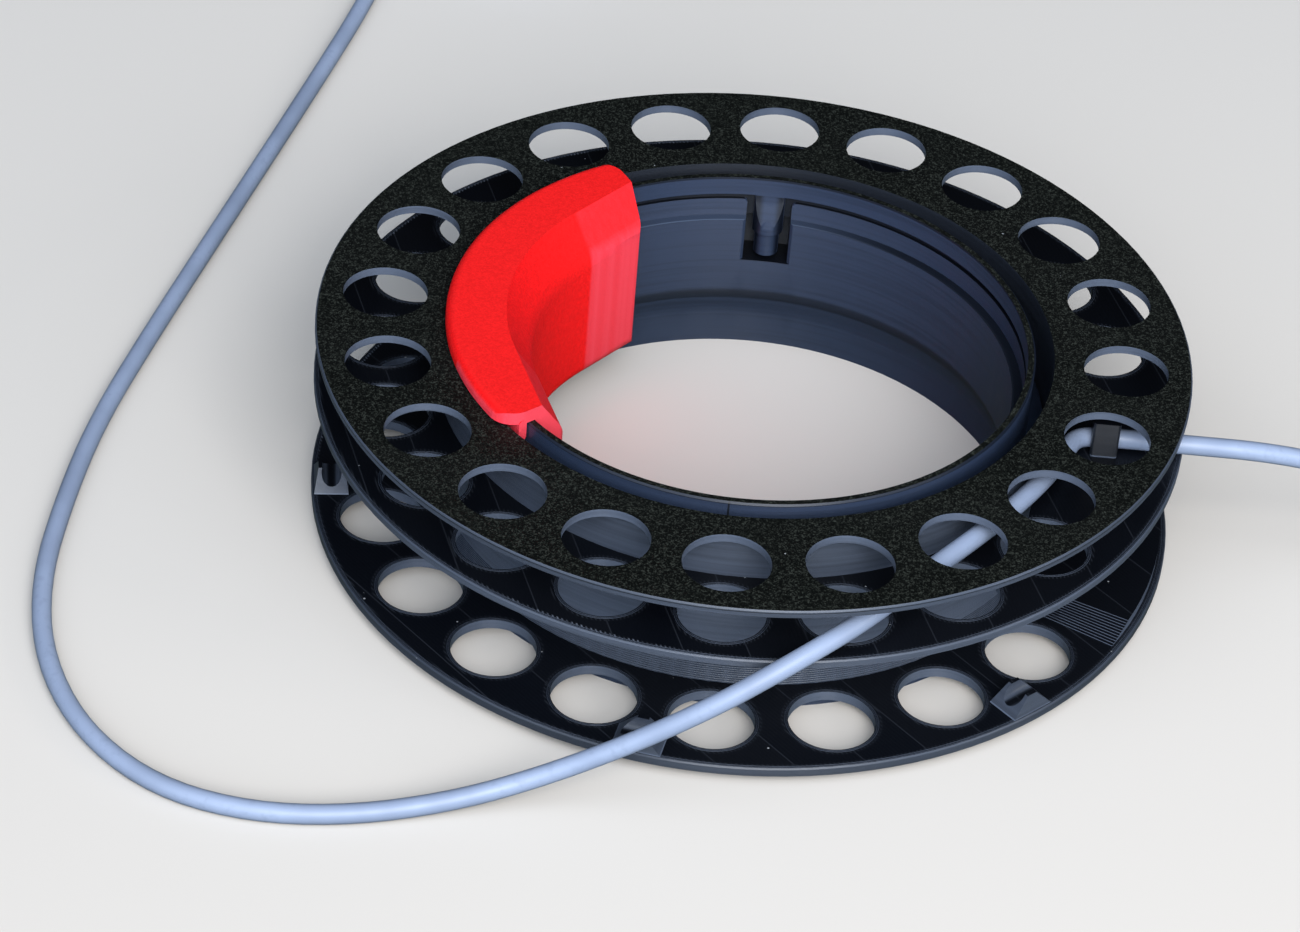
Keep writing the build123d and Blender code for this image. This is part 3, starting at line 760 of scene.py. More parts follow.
# %% [markdown]
# ### Marks of the rows and the plate's side
# On the smooth flanges the rows end in a dotted line just inside the rim, with a painted glint,
# and the borders between their zones show faintly. The top flange and the ring lay on the plate
# with their top, so they get its grain there, and a thin dark line runs round the flange's rim
# below it.

# %% Marks on a flange and grain on top
ENDS_FROM_EDGE = (1.1, 1.3, 1.7, 2.1)
RIM_BAND = (6.0, 3.0)
FAINT_MARK = 0.08
RIM_LINE_DROP, RIM_LINE_HALF = 0.75, (0.16, 0.08)
GRAIN_BUMP = 0.8


def flange_marks(tree, colour, rows, flat, closed_deg):
    """Colour with the ends of the rows, in a painted glint, and the borders of their zones."""
    distance = place_group(tree, "flange web", {
        "Pitch radius": HOLE_PITCH_R * MM, "Hole radius": HOLE_R * MM,
        "First hole": math.radians(FIRST_HOLE_DEG), "Hole step": math.radians(HOLE_STEP_DEG),
        "Rim radius": FLANGE_R * MM, "Closed from": math.radians(closed_deg[0]),
        "Closed to": math.radians(closed_deg[1])})
    start, full, full_to, end = (width * MM for width in ENDS_FROM_EDGE)
    in_line = times(tree, ramp(tree, distance["Web"], start, full),
                    ramp(tree, distance["Web"], end, full_to))
    at_rim = ramp(tree, distance["From rim"], RIM_BAND[0] * MM, RIM_BAND[1] * MM,
                  0.0, rows["Row end glints"])
    clear = maths(tree, "MAXIMUM", at_rim, FAINT_MARK)
    # Real row-end marks, painted lighter as a glint.
    row_end = times(tree, ramp(tree, rows["Row"], 0.1, 0.6), in_line, clear)
    border = times(tree, rows["Border"], FAINT_MARK)
    marks = times(tree, maths(tree, "MAXIMUM", row_end, border), flat)
    return mix_colour(tree, marks, colour, ROW_MARK_AND_GLINT)


def plate_side(tree, colour, spot, layers, on_top):
    """Colour and normal of a print whose top lay on the textured plate."""
    _, _, z, radius = spot
    texture = place_group(tree, "plate grain", {})
    grain = mix_colour(tree, texture["Speck"], GRAIN_BLACK, GRAIN_LIGHT)
    colour = mix_colour(tree, on_top, colour, grain)
    off_line = gap_to(tree, z, (REEL_TOP_Z - RIM_LINE_DROP) * MM)
    in_line = ramp(tree, off_line, *(width * MM for width in RIM_LINE_HALF))
    on_rim = above(tree, radius, (FLANGE_R - WALL_MARGIN) * MM)
    rim_line = times(tree, in_line, layers["Wall"], on_rim)
    colour = mix_colour(tree, rim_line, colour, RIM_LINE)
    height = times(tree, texture["Height"], on_top)
    return colour, bump(tree, height, layers["Normal"], GRAIN_BUMP)


print("marks ready")

# %% [markdown]
# ### One function for all black parts
# The function mixes the colour in steps: black, the walls' painted sheen, the part's own painted
# shade and sheen, the marks with their painted glint or the grain, and last the dust. Gloss
# follows the zones of the rows. A thin coat, on the walls only, stands for the gloss of the
# drawn beads.

# %% Black plastic
WALL_TILT = 0.75
WALL_COAT, COAT_ROUGH = 0.55, 0.3
STREAK_LIGHT = (0.75, 1.2)
ZONE_ROUGH = (0.46, 0.34)
GRAIN_ROUGHER, DUST_ROUGHER = 0.2, 0.4
SMOOTH_GLOSS, GRAIN_GLOSS = 0.24, 0.12
SMOOTH_DUST, GRAIN_DUST = 0.65, 0.06


def black_plastic(name, wall, row_deg=0.0, tilt=WALL_TILT, spool=None, closed_deg=None,
                  own_shades=None, grain=False):
    """Printed black plastic for one part, with painted sheen on its walls, its own painted shade and
    its marks.
    """
    material, tree, shader = new_material(name)
    spot = spot_on(tree)
    layers = place_group(tree, "layer lines", {"Tilt": tilt})
    rows = place_group(tree, "rows of plastic", {"Direction": math.radians(row_deg)})
    dust = place_group(tree, "dust", {"Share": GRAIN_DUST if grain else SMOOTH_DUST})["Dust"]
    flat = maths(tree, "SUBTRACT", 1.0, layers["Wall"])
    # Painted sheen: the walls take the lighter wall tone, varied by streaks.
    painted_wall_sheen = times(tree, ramp(tree, layers["Streak"], 0.2, 0.8, *STREAK_LIGHT), layers["Wall"])
    if spool:
        painted_wall_sheen = times(tree, painted_wall_sheen, spool_light(tree, spot, **spool))
    colour = mix_colour(tree, painted_wall_sheen, BLACK, wall)
    if own_shades == "sleeve":
        colour = sleeve_shades(tree, colour, spot, flat)
    if own_shades == "ring":
        colour = ring_shades(tree, colour, spot)
    if closed_deg:
        colour = flange_marks(tree, colour, rows, flat, closed_deg)
    rough = ramp(tree, rows["Zone"], 0.0, 1.0, *ZONE_ROUGH)
    if grain:
        on_top = times(tree, flat, above(tree, spot[2], (REEL_TOP_Z - 4 * NEAR) * MM))
        colour, normal = plate_side(tree, colour, spot, layers, on_top)
        rough = maths(tree, "ADD", rough, times(tree, on_top, GRAIN_ROUGHER))
    else:
        row_tilt = vector_maths(tree, "MULTIPLY", rows["Tilt"], flat)
        normal = vector_maths(tree, "ADD", layers["Normal"], row_tilt)
        normal = vector_maths(tree, "NORMALIZE", normal)
    tree.links.new(mix_colour(tree, dust, colour, DUST_COLOUR), shader.inputs["Base Color"])
    rough = maths(tree, "ADD", rough, times(tree, dust, DUST_ROUGHER))
    tree.links.new(rough, shader.inputs["Roughness"])
    tree.links.new(normal, shader.inputs["Normal"])
    tree.links.new(times(tree, layers["Wall"], WALL_COAT), shader.inputs["Coat Weight"])
    shader.inputs["Coat Roughness"].default_value = COAT_ROUGH
    shader.inputs["Specular IOR Level"].default_value = GRAIN_GLOSS if grain else SMOOTH_GLOSS
    print("material", name, len(tree.nodes), "nodes")
    return material


# %% [markdown]
# ### Six materials from one function
# Every black print calls the function with its own tones. The rows of each flange have their
# own direction, and the closed angles are its stretch without holes. The ribbed foot of the
# drum gets no layer lines, because its ribs are modelled.

# %% The six black materials
BOTTOM_ROW_DEG, MIDDLE_ROW_DEG = -47.6, -72.0
BOTTOM_CLOSED_DEG, MIDDLE_CLOSED_DEG = (-29.2, 24.8), (-29.2, 6.8)
# Painted shade on the walls of the clips and of the keeper.
CLIPS = {"clip_z": 6.5, "clip_x": 92.5, "clip_shade": 0.5}
KEEPER = {"clip_z": 44.6, "clip_x": FLANGE_R, "clip_shade": 0.92}
bottom_black = black_plastic("smooth_black_bottom", SPOOL_WALL_SHEEN, BOTTOM_ROW_DEG,
                             spool={"rim": 0.6, **CLIPS}, closed_deg=BOTTOM_CLOSED_DEG)
middle_black = black_plastic("smooth_black_middle", SPOOL_WALL_SHEEN, MIDDLE_ROW_DEG,
                             spool={"rim": 0.4, **KEEPER}, closed_deg=MIDDLE_CLOSED_DEG)
drum_black = black_plastic("smooth_black_drum", RIB_WALL_SHEEN, BOTTOM_ROW_DEG, tilt=0.0)
sleeve_black = black_plastic("smooth_black_sleeve", HUB_WALL_SHEEN, BOTTOM_ROW_DEG, own_shades="sleeve")
grained_flange = black_plastic("textured_black_flange", SPOOL_WALL_SHEEN, spool={"rim": 0.4}, grain=True)
grained_ring = black_plastic("textured_black_ring", HUB_WALL_SHEEN, own_shades="ring", grain=True)

# %% [markdown]
# ## Red plastic
# The guide is printed in a bright red that is almost a single hue. What makes it read as
# plastic is small: the layer lines on its walls, and a fine grain that is darker in its high
# points. The grain is a little coarser than the plate's, and covers all of the guide. Its walls
# get a lighter red as a painted sheen.

# %% Red plastic: colour and grain
RED = (0.88, 0.015, 0.015)
# Painted sheen: the guide's walls are a lighter red than its top.
RED_WALL_SHEEN = (0.98, 0.011, 0.012)
RED_DARK = (0.45, 0.004, 0.004)
RED_TILT = 0.5
RED_GRAIN_SIZE, RED_BUMP = 0.6, 0.6
RED_STREAK = (0.7, 1.1)
RED_DARK_SHARE = 0.35
RED_ROUGH = (0.38, 0.5)

red_plastic, tree, shader = new_material("red_plastic")
layers = place_group(tree, "layer lines", {"Tilt": RED_TILT})
texture = place_group(tree, "plate grain", {"Grain size": RED_GRAIN_SIZE * MM})
# Painted sheen: the walls take the lighter red, varied by streaks.
painted_wall_sheen = times(tree, ramp(tree, layers["Streak"], 0.25, 0.75, *RED_STREAK), layers["Wall"])
colour = mix_colour(tree, painted_wall_sheen, RED, RED_WALL_SHEEN)
dark_share = ramp(tree, texture["Height"], 0.55, 0.95, 0.0, RED_DARK_SHARE)
colour = mix_colour(tree, dark_share, colour, RED_DARK)
grained = bump(tree, texture["Height"], layers["Normal"], RED_BUMP)
tree.links.new(grained, shader.inputs["Normal"])
tree.links.new(ramp(tree, texture["Height"], 0.4, 1.0, *RED_ROUGH), shader.inputs["Roughness"])
shader.inputs["Specular IOR Level"].default_value = GRAIN_GLOSS
print("material", red_plastic.name, len(tree.nodes), "nodes")

# %% [markdown]
# The guide's wall is round only in its middle stretch. Its two straight stretches mirror the
# sky evenly and look pink and brushed, and so do the two faces at its ends. That pink is a
# painted sheen in the base colour, and on the straight stretches a coat adds real gloss as well.
# The angle round the axis tells the stretches apart, and the normal in the guide's own frame
# finds the faces that look along the ring.

# %% Red plastic: painted sheen on straight stretches and end faces
RED_SHEEN = (0.98, 0.060, 0.088)
RED_END_SHEEN = (0.86, 0.060, 0.085)
ARC_START_DEG, ARC_END_DEG = 141.0, -160.0
BRUSHED_SCALE = 500.0

x, y, _ = parts_of(tree, object_place(tree))
angle = maths(tree, "ARCTAN2", y, x)
before_arc = times(tree, above(tree, angle, 0.0), ramp(
    tree, angle, math.radians(ARC_START_DEG), math.radians(ARC_START_DEG - 1.5)))
after_arc = times(tree, below(tree, angle, 0.0), above(tree, angle, math.radians(ARC_END_DEG)))
own_normal = turned(tree, face_normal(tree), "NORMAL", "WORLD", "OBJECT")
normal_x, normal_y, normal_z = parts_of(tree, own_normal)
along = maths(tree, "SUBTRACT", times(tree, normal_y, maths(tree, "COSINE", angle)),
              times(tree, normal_x, maths(tree, "SINE", angle)))
end_face = ramp(tree, maths(tree, "ABSOLUTE", along), 0.75, 0.92)
steep = ramp(tree, maths(tree, "ABSOLUTE", normal_z), 0.72, 0.15)
brush_place = vector_of(tree, times(tree, x, BRUSHED_SCALE), times(tree, y, BRUSHED_SCALE), 0.0)
brushed = ramp(tree, noise(tree, brush_place, 1.0), 0.3, 0.7, 0.72, 1.0)
# Painted sheen: pink on the straight stretches and on the end faces.
sheen = times(tree, maths(tree, "ADD", before_arc, after_arc), steep, brushed)
colour = mix_colour(tree, sheen, colour, RED_SHEEN)
tree.links.new(mix_colour(tree, end_face, colour, RED_END_SHEEN), shader.inputs["Base Color"])
tree.links.new(sheen, shader.inputs["Coat Weight"])
shader.inputs["Coat Roughness"].default_value = COAT_ROUGH
print("material", red_plastic.name, len(tree.nodes), "nodes")

# %% [markdown]
# ## Cable, boots and plugs
# The jacket is a soft grey-blue plastic with a satin sheen. A faint smear of dirt changes its
# colour and its gloss slowly along the line, and a soft noise is enough for that. The boots
# are nearly the same colour, but duller, so one function makes both.

# %% Jacket and boots
JACKET = (0.28, 0.335, 0.455)
JACKET_DULL = (0.22, 0.265, 0.365)
BOOT = (0.30, 0.36, 0.50)
BOOT_DULL = (0.25, 0.30, 0.42)


def soft_plastic(name, clean, dull, smooth, rough):
    """Soft plastic whose colour and gloss drift slowly over the piece."""
    material, tree, shader = new_material(name)
    place = object_place(tree)
    smear = ramp(tree, noise(tree, place, 35.0, 3.0), 0.35, 0.7)
    grime = ramp(tree, noise(tree, place, 420.0), 0.45, 0.75)
    share = maths(tree, "MAXIMUM", smear, times(tree, grime, 0.5))
    tree.links.new(mix_colour(tree, share, clean, dull), shader.inputs["Base Color"])
    tree.links.new(ramp(tree, share, 0.0, 1.0, smooth, rough), shader.inputs["Roughness"])
    print("material", name, len(tree.nodes), "nodes")
    return material


jacket = soft_plastic("cable_jacket", JACKET, JACKET_DULL, 0.36, 0.46)
boot_plastic = soft_plastic("boot_plastic", BOOT, BOOT_DULL, 0.5, 0.62)

# %% [markdown]
# The plugs are clear, so light has to go through them: transmission does that, and an uneven
# roughness keeps them from looking like glass. Their contacts are gold plated and a little
# worn, so two tones of gold are mixed by a fine noise.

# %% Clear plastic and gold plate
CLEAR = (0.92, 0.94, 0.95, 1)
CLEAR_IOR = 1.58
GOLD = (0.85, 0.58, 0.22)
GOLD_WORN = (0.70, 0.46, 0.18)

clear_plastic, tree, shader = new_material("clear_plastic")
cloud = noise(tree, object_place(tree), 260.0)
tree.links.new(ramp(tree, cloud, 0.3, 0.8, 0.06, 0.2), shader.inputs["Roughness"])
shader.inputs["Base Color"].default_value = CLEAR
shader.inputs["Transmission Weight"].default_value = 0.85
shader.inputs["IOR"].default_value = CLEAR_IOR
print("material", clear_plastic.name, len(tree.nodes), "nodes")

gold_contact, tree, shader = new_material("gold_contact")
wear = noise(tree, object_place(tree), 900.0)
tree.links.new(mix_colour(tree, wear, GOLD, GOLD_WORN), shader.inputs["Base Color"])
tree.links.new(ramp(tree, wear, 0.2, 0.8, 0.2, 0.38), shader.inputs["Roughness"])
shader.inputs["Metallic"].default_value = 1.0
print("material", gold_contact.name, len(tree.nodes), "nodes")

# %% [markdown]
# ## Smooth copies of the printed parts
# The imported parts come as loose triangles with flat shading, and on a round wall each triangle
# would flash by itself. A copy of each part is merged into one surface and shaded smoothly,
# except over edges that really are sharp. Weighting the normals by face area keeps the large
# flat faces flat right up to their rounded edges.

# %% Smooth copies
MERGE_DISTANCE = 2e-6
SHARP_DEG = 28.0


def smooth_copy(node_name, piece_name, body, slot_name, material):
    """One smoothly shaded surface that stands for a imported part."""
    shape = bmesh.new()
    shape.from_mesh(nodes[node_name].data)
    bmesh.ops.remove_doubles(shape, verts=shape.verts, dist=MERGE_DISTANCE)
    corners = [vertex.co.copy() for vertex in shape.verts]
    faces = [[vertex.index for vertex in face.verts] for face in shape.faces]
    shape.free()
    mesh = bpy.data.meshes.new(piece_name)
    mesh.from_pydata(corners, [], faces)
    mesh.shade_smooth()
    mesh.set_sharp_from_angle(angle=math.radians(SHARP_DEG))
    piece = bpy.data.objects.new(piece_name, mesh)
    scene.collection.objects.link(piece)
    weighted = piece.modifiers.new("weighted normals", "WEIGHTED_NORMAL")
    weighted.keep_sharp = True
    weighted.weight = 80
    mesh.materials.append(material)
    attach(piece, body)
    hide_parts(node_name)
    print(piece_name, len(mesh.polygons), "faces")
    return piece


PRINTED_PARTS = [
    ("bottom_flange", "bottom_flange_print", "spool", "smooth_black", bottom_black),
    ("middle_flange", "middle_flange_print", "spool", "smooth_black", middle_black),
    ("top_flange", "top_flange_print", "spool", "textured_black", grained_flange),
    ("hub_sleeve", "hub_sleeve_print", "hub", "smooth_black", sleeve_black),
    ("hub_ring", "hub_ring_print", "hub", "textured_black", grained_ring),
    ("rim_guide", "rim_guide_print", "hub", "red_plastic", red_plastic),
]
for part in PRINTED_PARTS:
    smooth_copy(*part)

# %% [markdown]
# ## Trees that repeat a small shape
# Outlines, ribs and contacts each repeat one small shape, and Geometry Nodes do that with a few
# nodes. Every tree has named inputs for its sizes and ends alike: its copies are made real,
# because instances would be lost on export, and they get their material.

# %% Helpers: Geometry Nodes
def geometry_tree(name, inputs):
    """New Geometry Nodes tree with named inputs for its sizes and its material."""
    tree = bpy.data.node_groups.new(name, "GeometryNodeTree")
    for title, kind in inputs:
        tree.interface.new_socket(title, in_out="INPUT", socket_type=kind)
    tree.interface.new_socket("Material", in_out="INPUT", socket_type="NodeSocketMaterial")
    tree.interface.new_socket("Geometry", in_out="OUTPUT", socket_type="NodeSocketGeometry")
    return tree, tree.nodes.new("NodeGroupInput").outputs, tree.nodes.new("NodeGroupOutput").inputs


def add_node(tree, kind, values=None, **settings):
    """A node with its settings and its inputs by name."""
    node = tree.nodes.new(kind)
    for name, value in settings.items():
        setattr(node, name, value)
    for title, value in (values or {}).items():
        feed(tree, node.inputs[title], value)
    return node


def bead(tree, ring_radius, bead_radius, steps):
    """Mesh of one closed round bead on a circle."""
    ring = add_node(tree, "GeometryNodeCurvePrimitiveCircle",
                    {"Resolution": steps, "Radius": ring_radius})
    profile = add_node(tree, "GeometryNodeCurvePrimitiveCircle",
                       {"Resolution": 6, "Radius": bead_radius})
    sweep = add_node(tree, "GeometryNodeCurveToMesh",
                     {"Curve": ring.outputs["Curve"], "Profile Curve": profile.outputs["Curve"]})
    return sweep.outputs["Mesh"]


def finish_tree(tree, geometry, given, result):
    """Make instances real, give them their material and close the tree."""
    real = add_node(tree, "GeometryNodeRealizeInstances", {"Geometry": geometry})
    painted = add_node(tree, "GeometryNodeSetMaterial",
                       {"Geometry": real.outputs[0], "Material": given["Material"]})
    tree.links.new(painted.outputs[0], result["Geometry"])
    print("geometry tree", tree.name, len(tree.nodes), "nodes")


print("tree helpers ready")

# %% [markdown]
# ## Outlines round the holes
# Before it fills a face with rows, the printer draws two lines round every hole and along the
# rim. They stand a hair above the rows and show as thin bright rings. Geometry Nodes repeat
# them: a circle swept by a small round profile is one bead, and every open hole gets a copy.
# The beads are almost buried, so only their tops show.

# %% Geometry Nodes: outlines round the holes
tree, given, result = geometry_tree("outlines round holes", [
    ("Hole Count", WHOLE), ("Pitch Radius", FLOAT), ("Ring Radius", FLOAT), ("First Angle", FLOAT),
    ("Step", FLOAT), ("Rim Radius", FLOAT), ("Bead Radius", FLOAT), ("Height", FLOAT)])
points = add_node(tree, "GeometryNodePoints", {"Count": given["Hole Count"]})
index = add_node(tree, "GeometryNodeInputIndex").outputs[0]
angle = maths(tree, "ADD", times(tree, index, given["Step"]), given["First Angle"])
hole_x = times(tree, maths(tree, "COSINE", angle), given["Pitch Radius"])
hole_y = times(tree, maths(tree, "SINE", angle), given["Pitch Radius"])
placed = add_node(tree, "GeometryNodeSetPosition", {
    "Geometry": points.outputs[0], "Position": vector_of(tree, hole_x, hole_y, given["Height"])})
rings = add_node(tree, "GeometryNodeInstanceOnPoints", {
    "Points": placed.outputs[0],
    "Instance": bead(tree, given["Ring Radius"], given["Bead Radius"], 72)})
rim = add_node(tree, "GeometryNodeTransform", {
    "Geometry": bead(tree, given["Rim Radius"], given["Bead Radius"], 240),
    "Translation": vector_of(tree, 0.0, 0.0, given["Height"])})
joined = add_node(tree, "GeometryNodeJoinGeometry")
tree.links.new(rings.outputs[0], joined.inputs[0])
tree.links.new(rim.outputs[0], joined.inputs[0])
finish_tree(tree, joined.outputs[0], given, result)

# %% [markdown]
# A Geometry Nodes modifier takes its values by the socket's identifier, so a helper looks each
# one up by its title. It then reads the finished mesh and throws the modifier away: what is
# left is a plain mesh, at the origin, that can ride on a body.

# %% Helper: a plain mesh from a tree
def mesh_from_tree(tree_name, piece_name, values, material, place=None):
    """Run a Geometry Nodes tree once and keep its result as a plain mesh piece."""
    tree = bpy.data.node_groups[tree_name]
    carrier = bpy.data.objects.new("carrier", bpy.data.meshes.new("carrier"))
    scene.collection.objects.link(carrier)
    modifier = carrier.modifiers.new("nodes", "NODES")
    modifier.node_group = tree
    titles = {item.name: item.identifier for item in tree.interface.items_tree
              if item.item_type == "SOCKET" and item.in_out == "INPUT"}
    for title, value in {**values, "Material": material}.items():
        modifier[titles[title]] = value
    depsgraph = bpy.context.evaluated_depsgraph_get()
    mesh = bpy.data.meshes.new_from_object(carrier.evaluated_get(depsgraph))
    bpy.data.objects.remove(carrier)
    mesh.name = piece_name
    if place is not None:
        mesh.transform(place)
        if place.determinant() < 0:
            mesh.flip_normals()
    piece = bpy.data.objects.new(piece_name, mesh)
    scene.collection.objects.link(piece)
    print(piece_name, len(mesh.polygons), "faces")
    return piece


# %% Beads on the bottom and the middle flange
BEAD_R = 0.22
BEAD_SHOWS = 0.07
OUTLINE_STEPS = (0.35, 0.85)
FLANGE_TOPS = {
    "bottom": (BOTTOM_TOP_Z, 3, bottom_black),
    "middle": (MIDDLE_TOP_Z, 2, middle_black),
}
for flange_name, (top_z, closed_count, material) in FLANGE_TOPS.items():
    first = FIRST_HOLE_DEG - 8 * HOLE_STEP_DEG
    for number, gap in enumerate(OUTLINE_STEPS, 1):
        piece = mesh_from_tree("outlines round holes", f"{flange_name}_flange_outline_{number}", {
            "Hole Count": HOLE_COUNT - closed_count,
            "Pitch Radius": HOLE_PITCH_R * MM,
            "Ring Radius": (HOLE_R + gap) * MM,
            "First Angle": math.radians(first),
            "Step": math.radians(-HOLE_STEP_DEG),
            "Rim Radius": (FLANGE_R - 0.4 - gap) * MM,
            "Bead Radius": BEAD_R * MM,
            "Height": (top_z + BEAD_SHOWS - BEAD_R) * MM,
        }, material)
        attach(piece, "spool")

# %% [markdown]
# ## Ribbed foot of the lower drum
# The lowest eight millimetres of the drum are printed with coarser, deeper beads than the wall
# above, and look ribbed and darker. The same sweep makes one rib, and a line of points above
# each other repeats it.

# %% Geometry Nodes: ribs on the drum's foot
RIB_COUNT = 11
RIB_PITCH = 0.75
RIB_R = 0.36
RIB_SHOWS = 0.16

tree, given, result = geometry_tree("ribs round drum", [
    ("Rib Count", WHOLE), ("Rib Pitch", FLOAT), ("Drum Radius", FLOAT), ("Rib Radius", FLOAT),
    ("Lowest", FLOAT)])
column = add_node(tree, "GeometryNodeMeshLine", {
    "Count": given["Rib Count"],
    "Start Location": vector_of(tree, 0.0, 0.0, given["Lowest"]),
    "Offset": vector_of(tree, 0.0, 0.0, given["Rib Pitch"])})
ribs = add_node(tree, "GeometryNodeInstanceOnPoints", {
    "Points": column.outputs[0],
    "Instance": bead(tree, given["Drum Radius"], given["Rib Radius"], 240)})
finish_tree(tree, ribs.outputs[0], given, result)

piece = mesh_from_tree("ribs round drum", "drum_foot_ribs", {
    "Rib Count": RIB_COUNT,
    "Rib Pitch": RIB_PITCH * MM,
    "Drum Radius": (DRUM_R + RIB_SHOWS - RIB_R) * MM,
    "Rib Radius": RIB_R * MM,
    "Lowest": (BOTTOM_TOP_Z + RIB_PITCH / 2) * MM,
}, drum_black)
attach(piece, "spool")

# %% [markdown]
# ## Boots and plugs
# Each cable end has a boot and a clear modular plug. The solids already have their shape, so
# they keep it and only get their finish. What repeats is added: ribs across the boot that let
# it bend, and eight gold contacts in the plug's nose. Both are built in the frame in which the
# coil winds, and one matrix puts them on their coil.

# %% Geometry Nodes: plug contacts
tree, given, result = geometry_tree("contacts", [
    ("Contact Count", WHOLE), ("Contact Pitch", FLOAT), ("Length", FLOAT), ("Width", FLOAT),
    ("Height", FLOAT)])
span = times(tree, maths(tree, "SUBTRACT", given["Contact Count"], 1.0), given["Contact Pitch"], -0.5)
line = add_node(tree, "GeometryNodeMeshLine", {
    "Count": given["Contact Count"],
    "Start Location": vector_of(tree, 0.0, span, 0.0),
    "Offset": vector_of(tree, 0.0, given["Contact Pitch"], 0.0)})
blade = add_node(tree, "GeometryNodeMeshCube", {
    "Size": vector_of(tree, given["Length"], given["Width"], given["Height"])})
blades = add_node(tree, "GeometryNodeInstanceOnPoints", {
    "Points": line.outputs[0], "Instance": blade.outputs[0]})
finish_tree(tree, blades.outputs[0], given, result)

# %% [markdown]
# A boot's ribs are ovals that widen from its neck to its mouth. One ring is turned to stand
# across the boot, and every copy of it is scaled by its place in the line.

# %% Geometry Nodes: boot ribs
tree, given, result = geometry_tree("boot ribs", [
    ("Rib Count", WHOLE), ("Start", FLOAT), ("Spacing", FLOAT), ("Rib Radius", FLOAT),
    ("Neck Width", FLOAT), ("Mouth Width", FLOAT), ("Neck Height", FLOAT), ("Mouth Height", FLOAT)])
line = add_node(tree, "GeometryNodeMeshLine", {
    "Count": given["Rib Count"],
    "Start Location": vector_of(tree, given["Start"], 0.0, 0.0),
    "Offset": vector_of(tree, given["Spacing"], 0.0, 0.0)})
index = add_node(tree, "GeometryNodeInputIndex").outputs[0]
along = maths(tree, "DIVIDE", index, maths(tree, "SUBTRACT", given["Rib Count"], 1.0))
widths = []
for small, large in (("Neck Width", "Mouth Width"), ("Neck Height", "Mouth Height")):
    growth = maths(tree, "SUBTRACT", given[large], given[small])
    widths.append(maths(tree, "ADD", given[small], times(tree, along, growth)))
turned_ring = add_node(tree, "GeometryNodeTransform", {
    "Geometry": bead(tree, 1.0, maths(tree, "DIVIDE", given["Rib Radius"], given["Neck Width"]), 32),
    "Rotation": (0.0, math.radians(90), 0.0)})
ribs = add_node(tree, "GeometryNodeInstanceOnPoints", {
    "Points": line.outputs[0], "Instance": turned_ring.outputs[0],
    "Scale": vector_of(tree, given["Neck Width"], widths[0], widths[1])})
finish_tree(tree, ribs.outputs[0], given, result)

# %% [markdown]
# The sizes are those of a common modular plug. The contacts and the ribs are made at the origin
# and moved by the matrix. On the left end it mirrors them, which turns their faces inside out,
# and the helper above turns them back.

# %% Sizes of boots and plugs
PLUG_L = 21.5
PLUG_H = 6.6
BOOT_L = 12.0
CONTACT_COUNT = 8
CONTACT_PITCH = 1.02
CONTACT_SIZE = (6.2, 0.34, 0.9)
CONTACT_INSET, CONTACT_LIFT = 0.6, 0.25
BOOT_RIB_COUNT = 4
BOOT_RIB_START, BOOT_RIB_SPACING, BOOT_RIB_R = 2.2, 2.4, 0.45
NECK_HALF = (3.85, 3.5)
MOUTH_HALF = (4.6, 3.3)
print("contacts are", round((CONTACT_COUNT - 1) * CONTACT_PITCH, 2), "mm across")

# %% Put them on both ends
def plug_frame(route, side):
    """Matrix from the boot's start, with X along the plug, to the reel's frame in metres."""
    last_radius, _ = slot_place(TOTAL_TURNS)
    start = Matrix.Translation(on_coil(TOTAL_TURNS, last_radius, PLUG_REST_Z))
    along = Matrix.Rotation(turn_angle(TOTAL_TURNS) + math.pi / 2, 4, "Z")
    return Matrix.Scale(MM, 4) @ coil_frame(route, side) @ start @ along


for end_name, (route, side) in ENDS.items():
    for part_name, finish in ((f"boot_{end_name}", boot_plastic), (f"plug_{end_name}", clear_plastic)):
        nodes[part_name].data.materials.clear()
        nodes[part_name].data.materials.append(finish)
    place = plug_frame(route, side)
    nose_x = BOOT_L + PLUG_L - CONTACT_SIZE[0] / 2 - CONTACT_INSET
    low_z = CONTACT_SIZE[2] / 2 - PLUG_H / 2 + CONTACT_LIFT
    contacts = mesh_from_tree("contacts", f"plug_contacts_{end_name}", {
        "Contact Count": CONTACT_COUNT, "Contact Pitch": CONTACT_PITCH,
        "Length": CONTACT_SIZE[0], "Width": CONTACT_SIZE[1], "Height": CONTACT_SIZE[2],
    }, gold_contact, place @ Matrix.Translation((nose_x, 0, low_z)))
    ribs = mesh_from_tree("boot ribs", f"boot_ribs_{end_name}", {
        "Rib Count": BOOT_RIB_COUNT, "Start": BOOT_RIB_START, "Spacing": BOOT_RIB_SPACING,
        "Rib Radius": BOOT_RIB_R, "Neck Width": NECK_HALF[0], "Mouth Width": MOUTH_HALF[0],
        "Neck Height": NECK_HALF[1], "Mouth Height": MOUTH_HALF[1],
    }, boot_plastic, place)
    for piece, slot_name in ((contacts, "clear_plastic"), (ribs, "boot_plastic")):
        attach(piece, "spool")

# %% [markdown]
# The cables were laid out before any material was made, so they get their jacket now. A curve
# keeps its materials in its data, as a mesh does.

# %% Jacket on the cables
for piece in cables.values():
    piece.data.materials.append(jacket)
    print(piece.name, "wears", jacket.name)

# %% [markdown]
# ## Floor
# The floor is a plain pale sheet. Under the real reel hardly any light comes back up, so the
# Light Path node gives the sheet two colours: the camera sees it pale, and every ray that
# comes from the reel finds it almost black.

# %% Floor
PALE = (0.66, 0.61, 0.55)
BOUNCE = (0.06, 0.07, 0.05)
FLOOR_HALF = 4

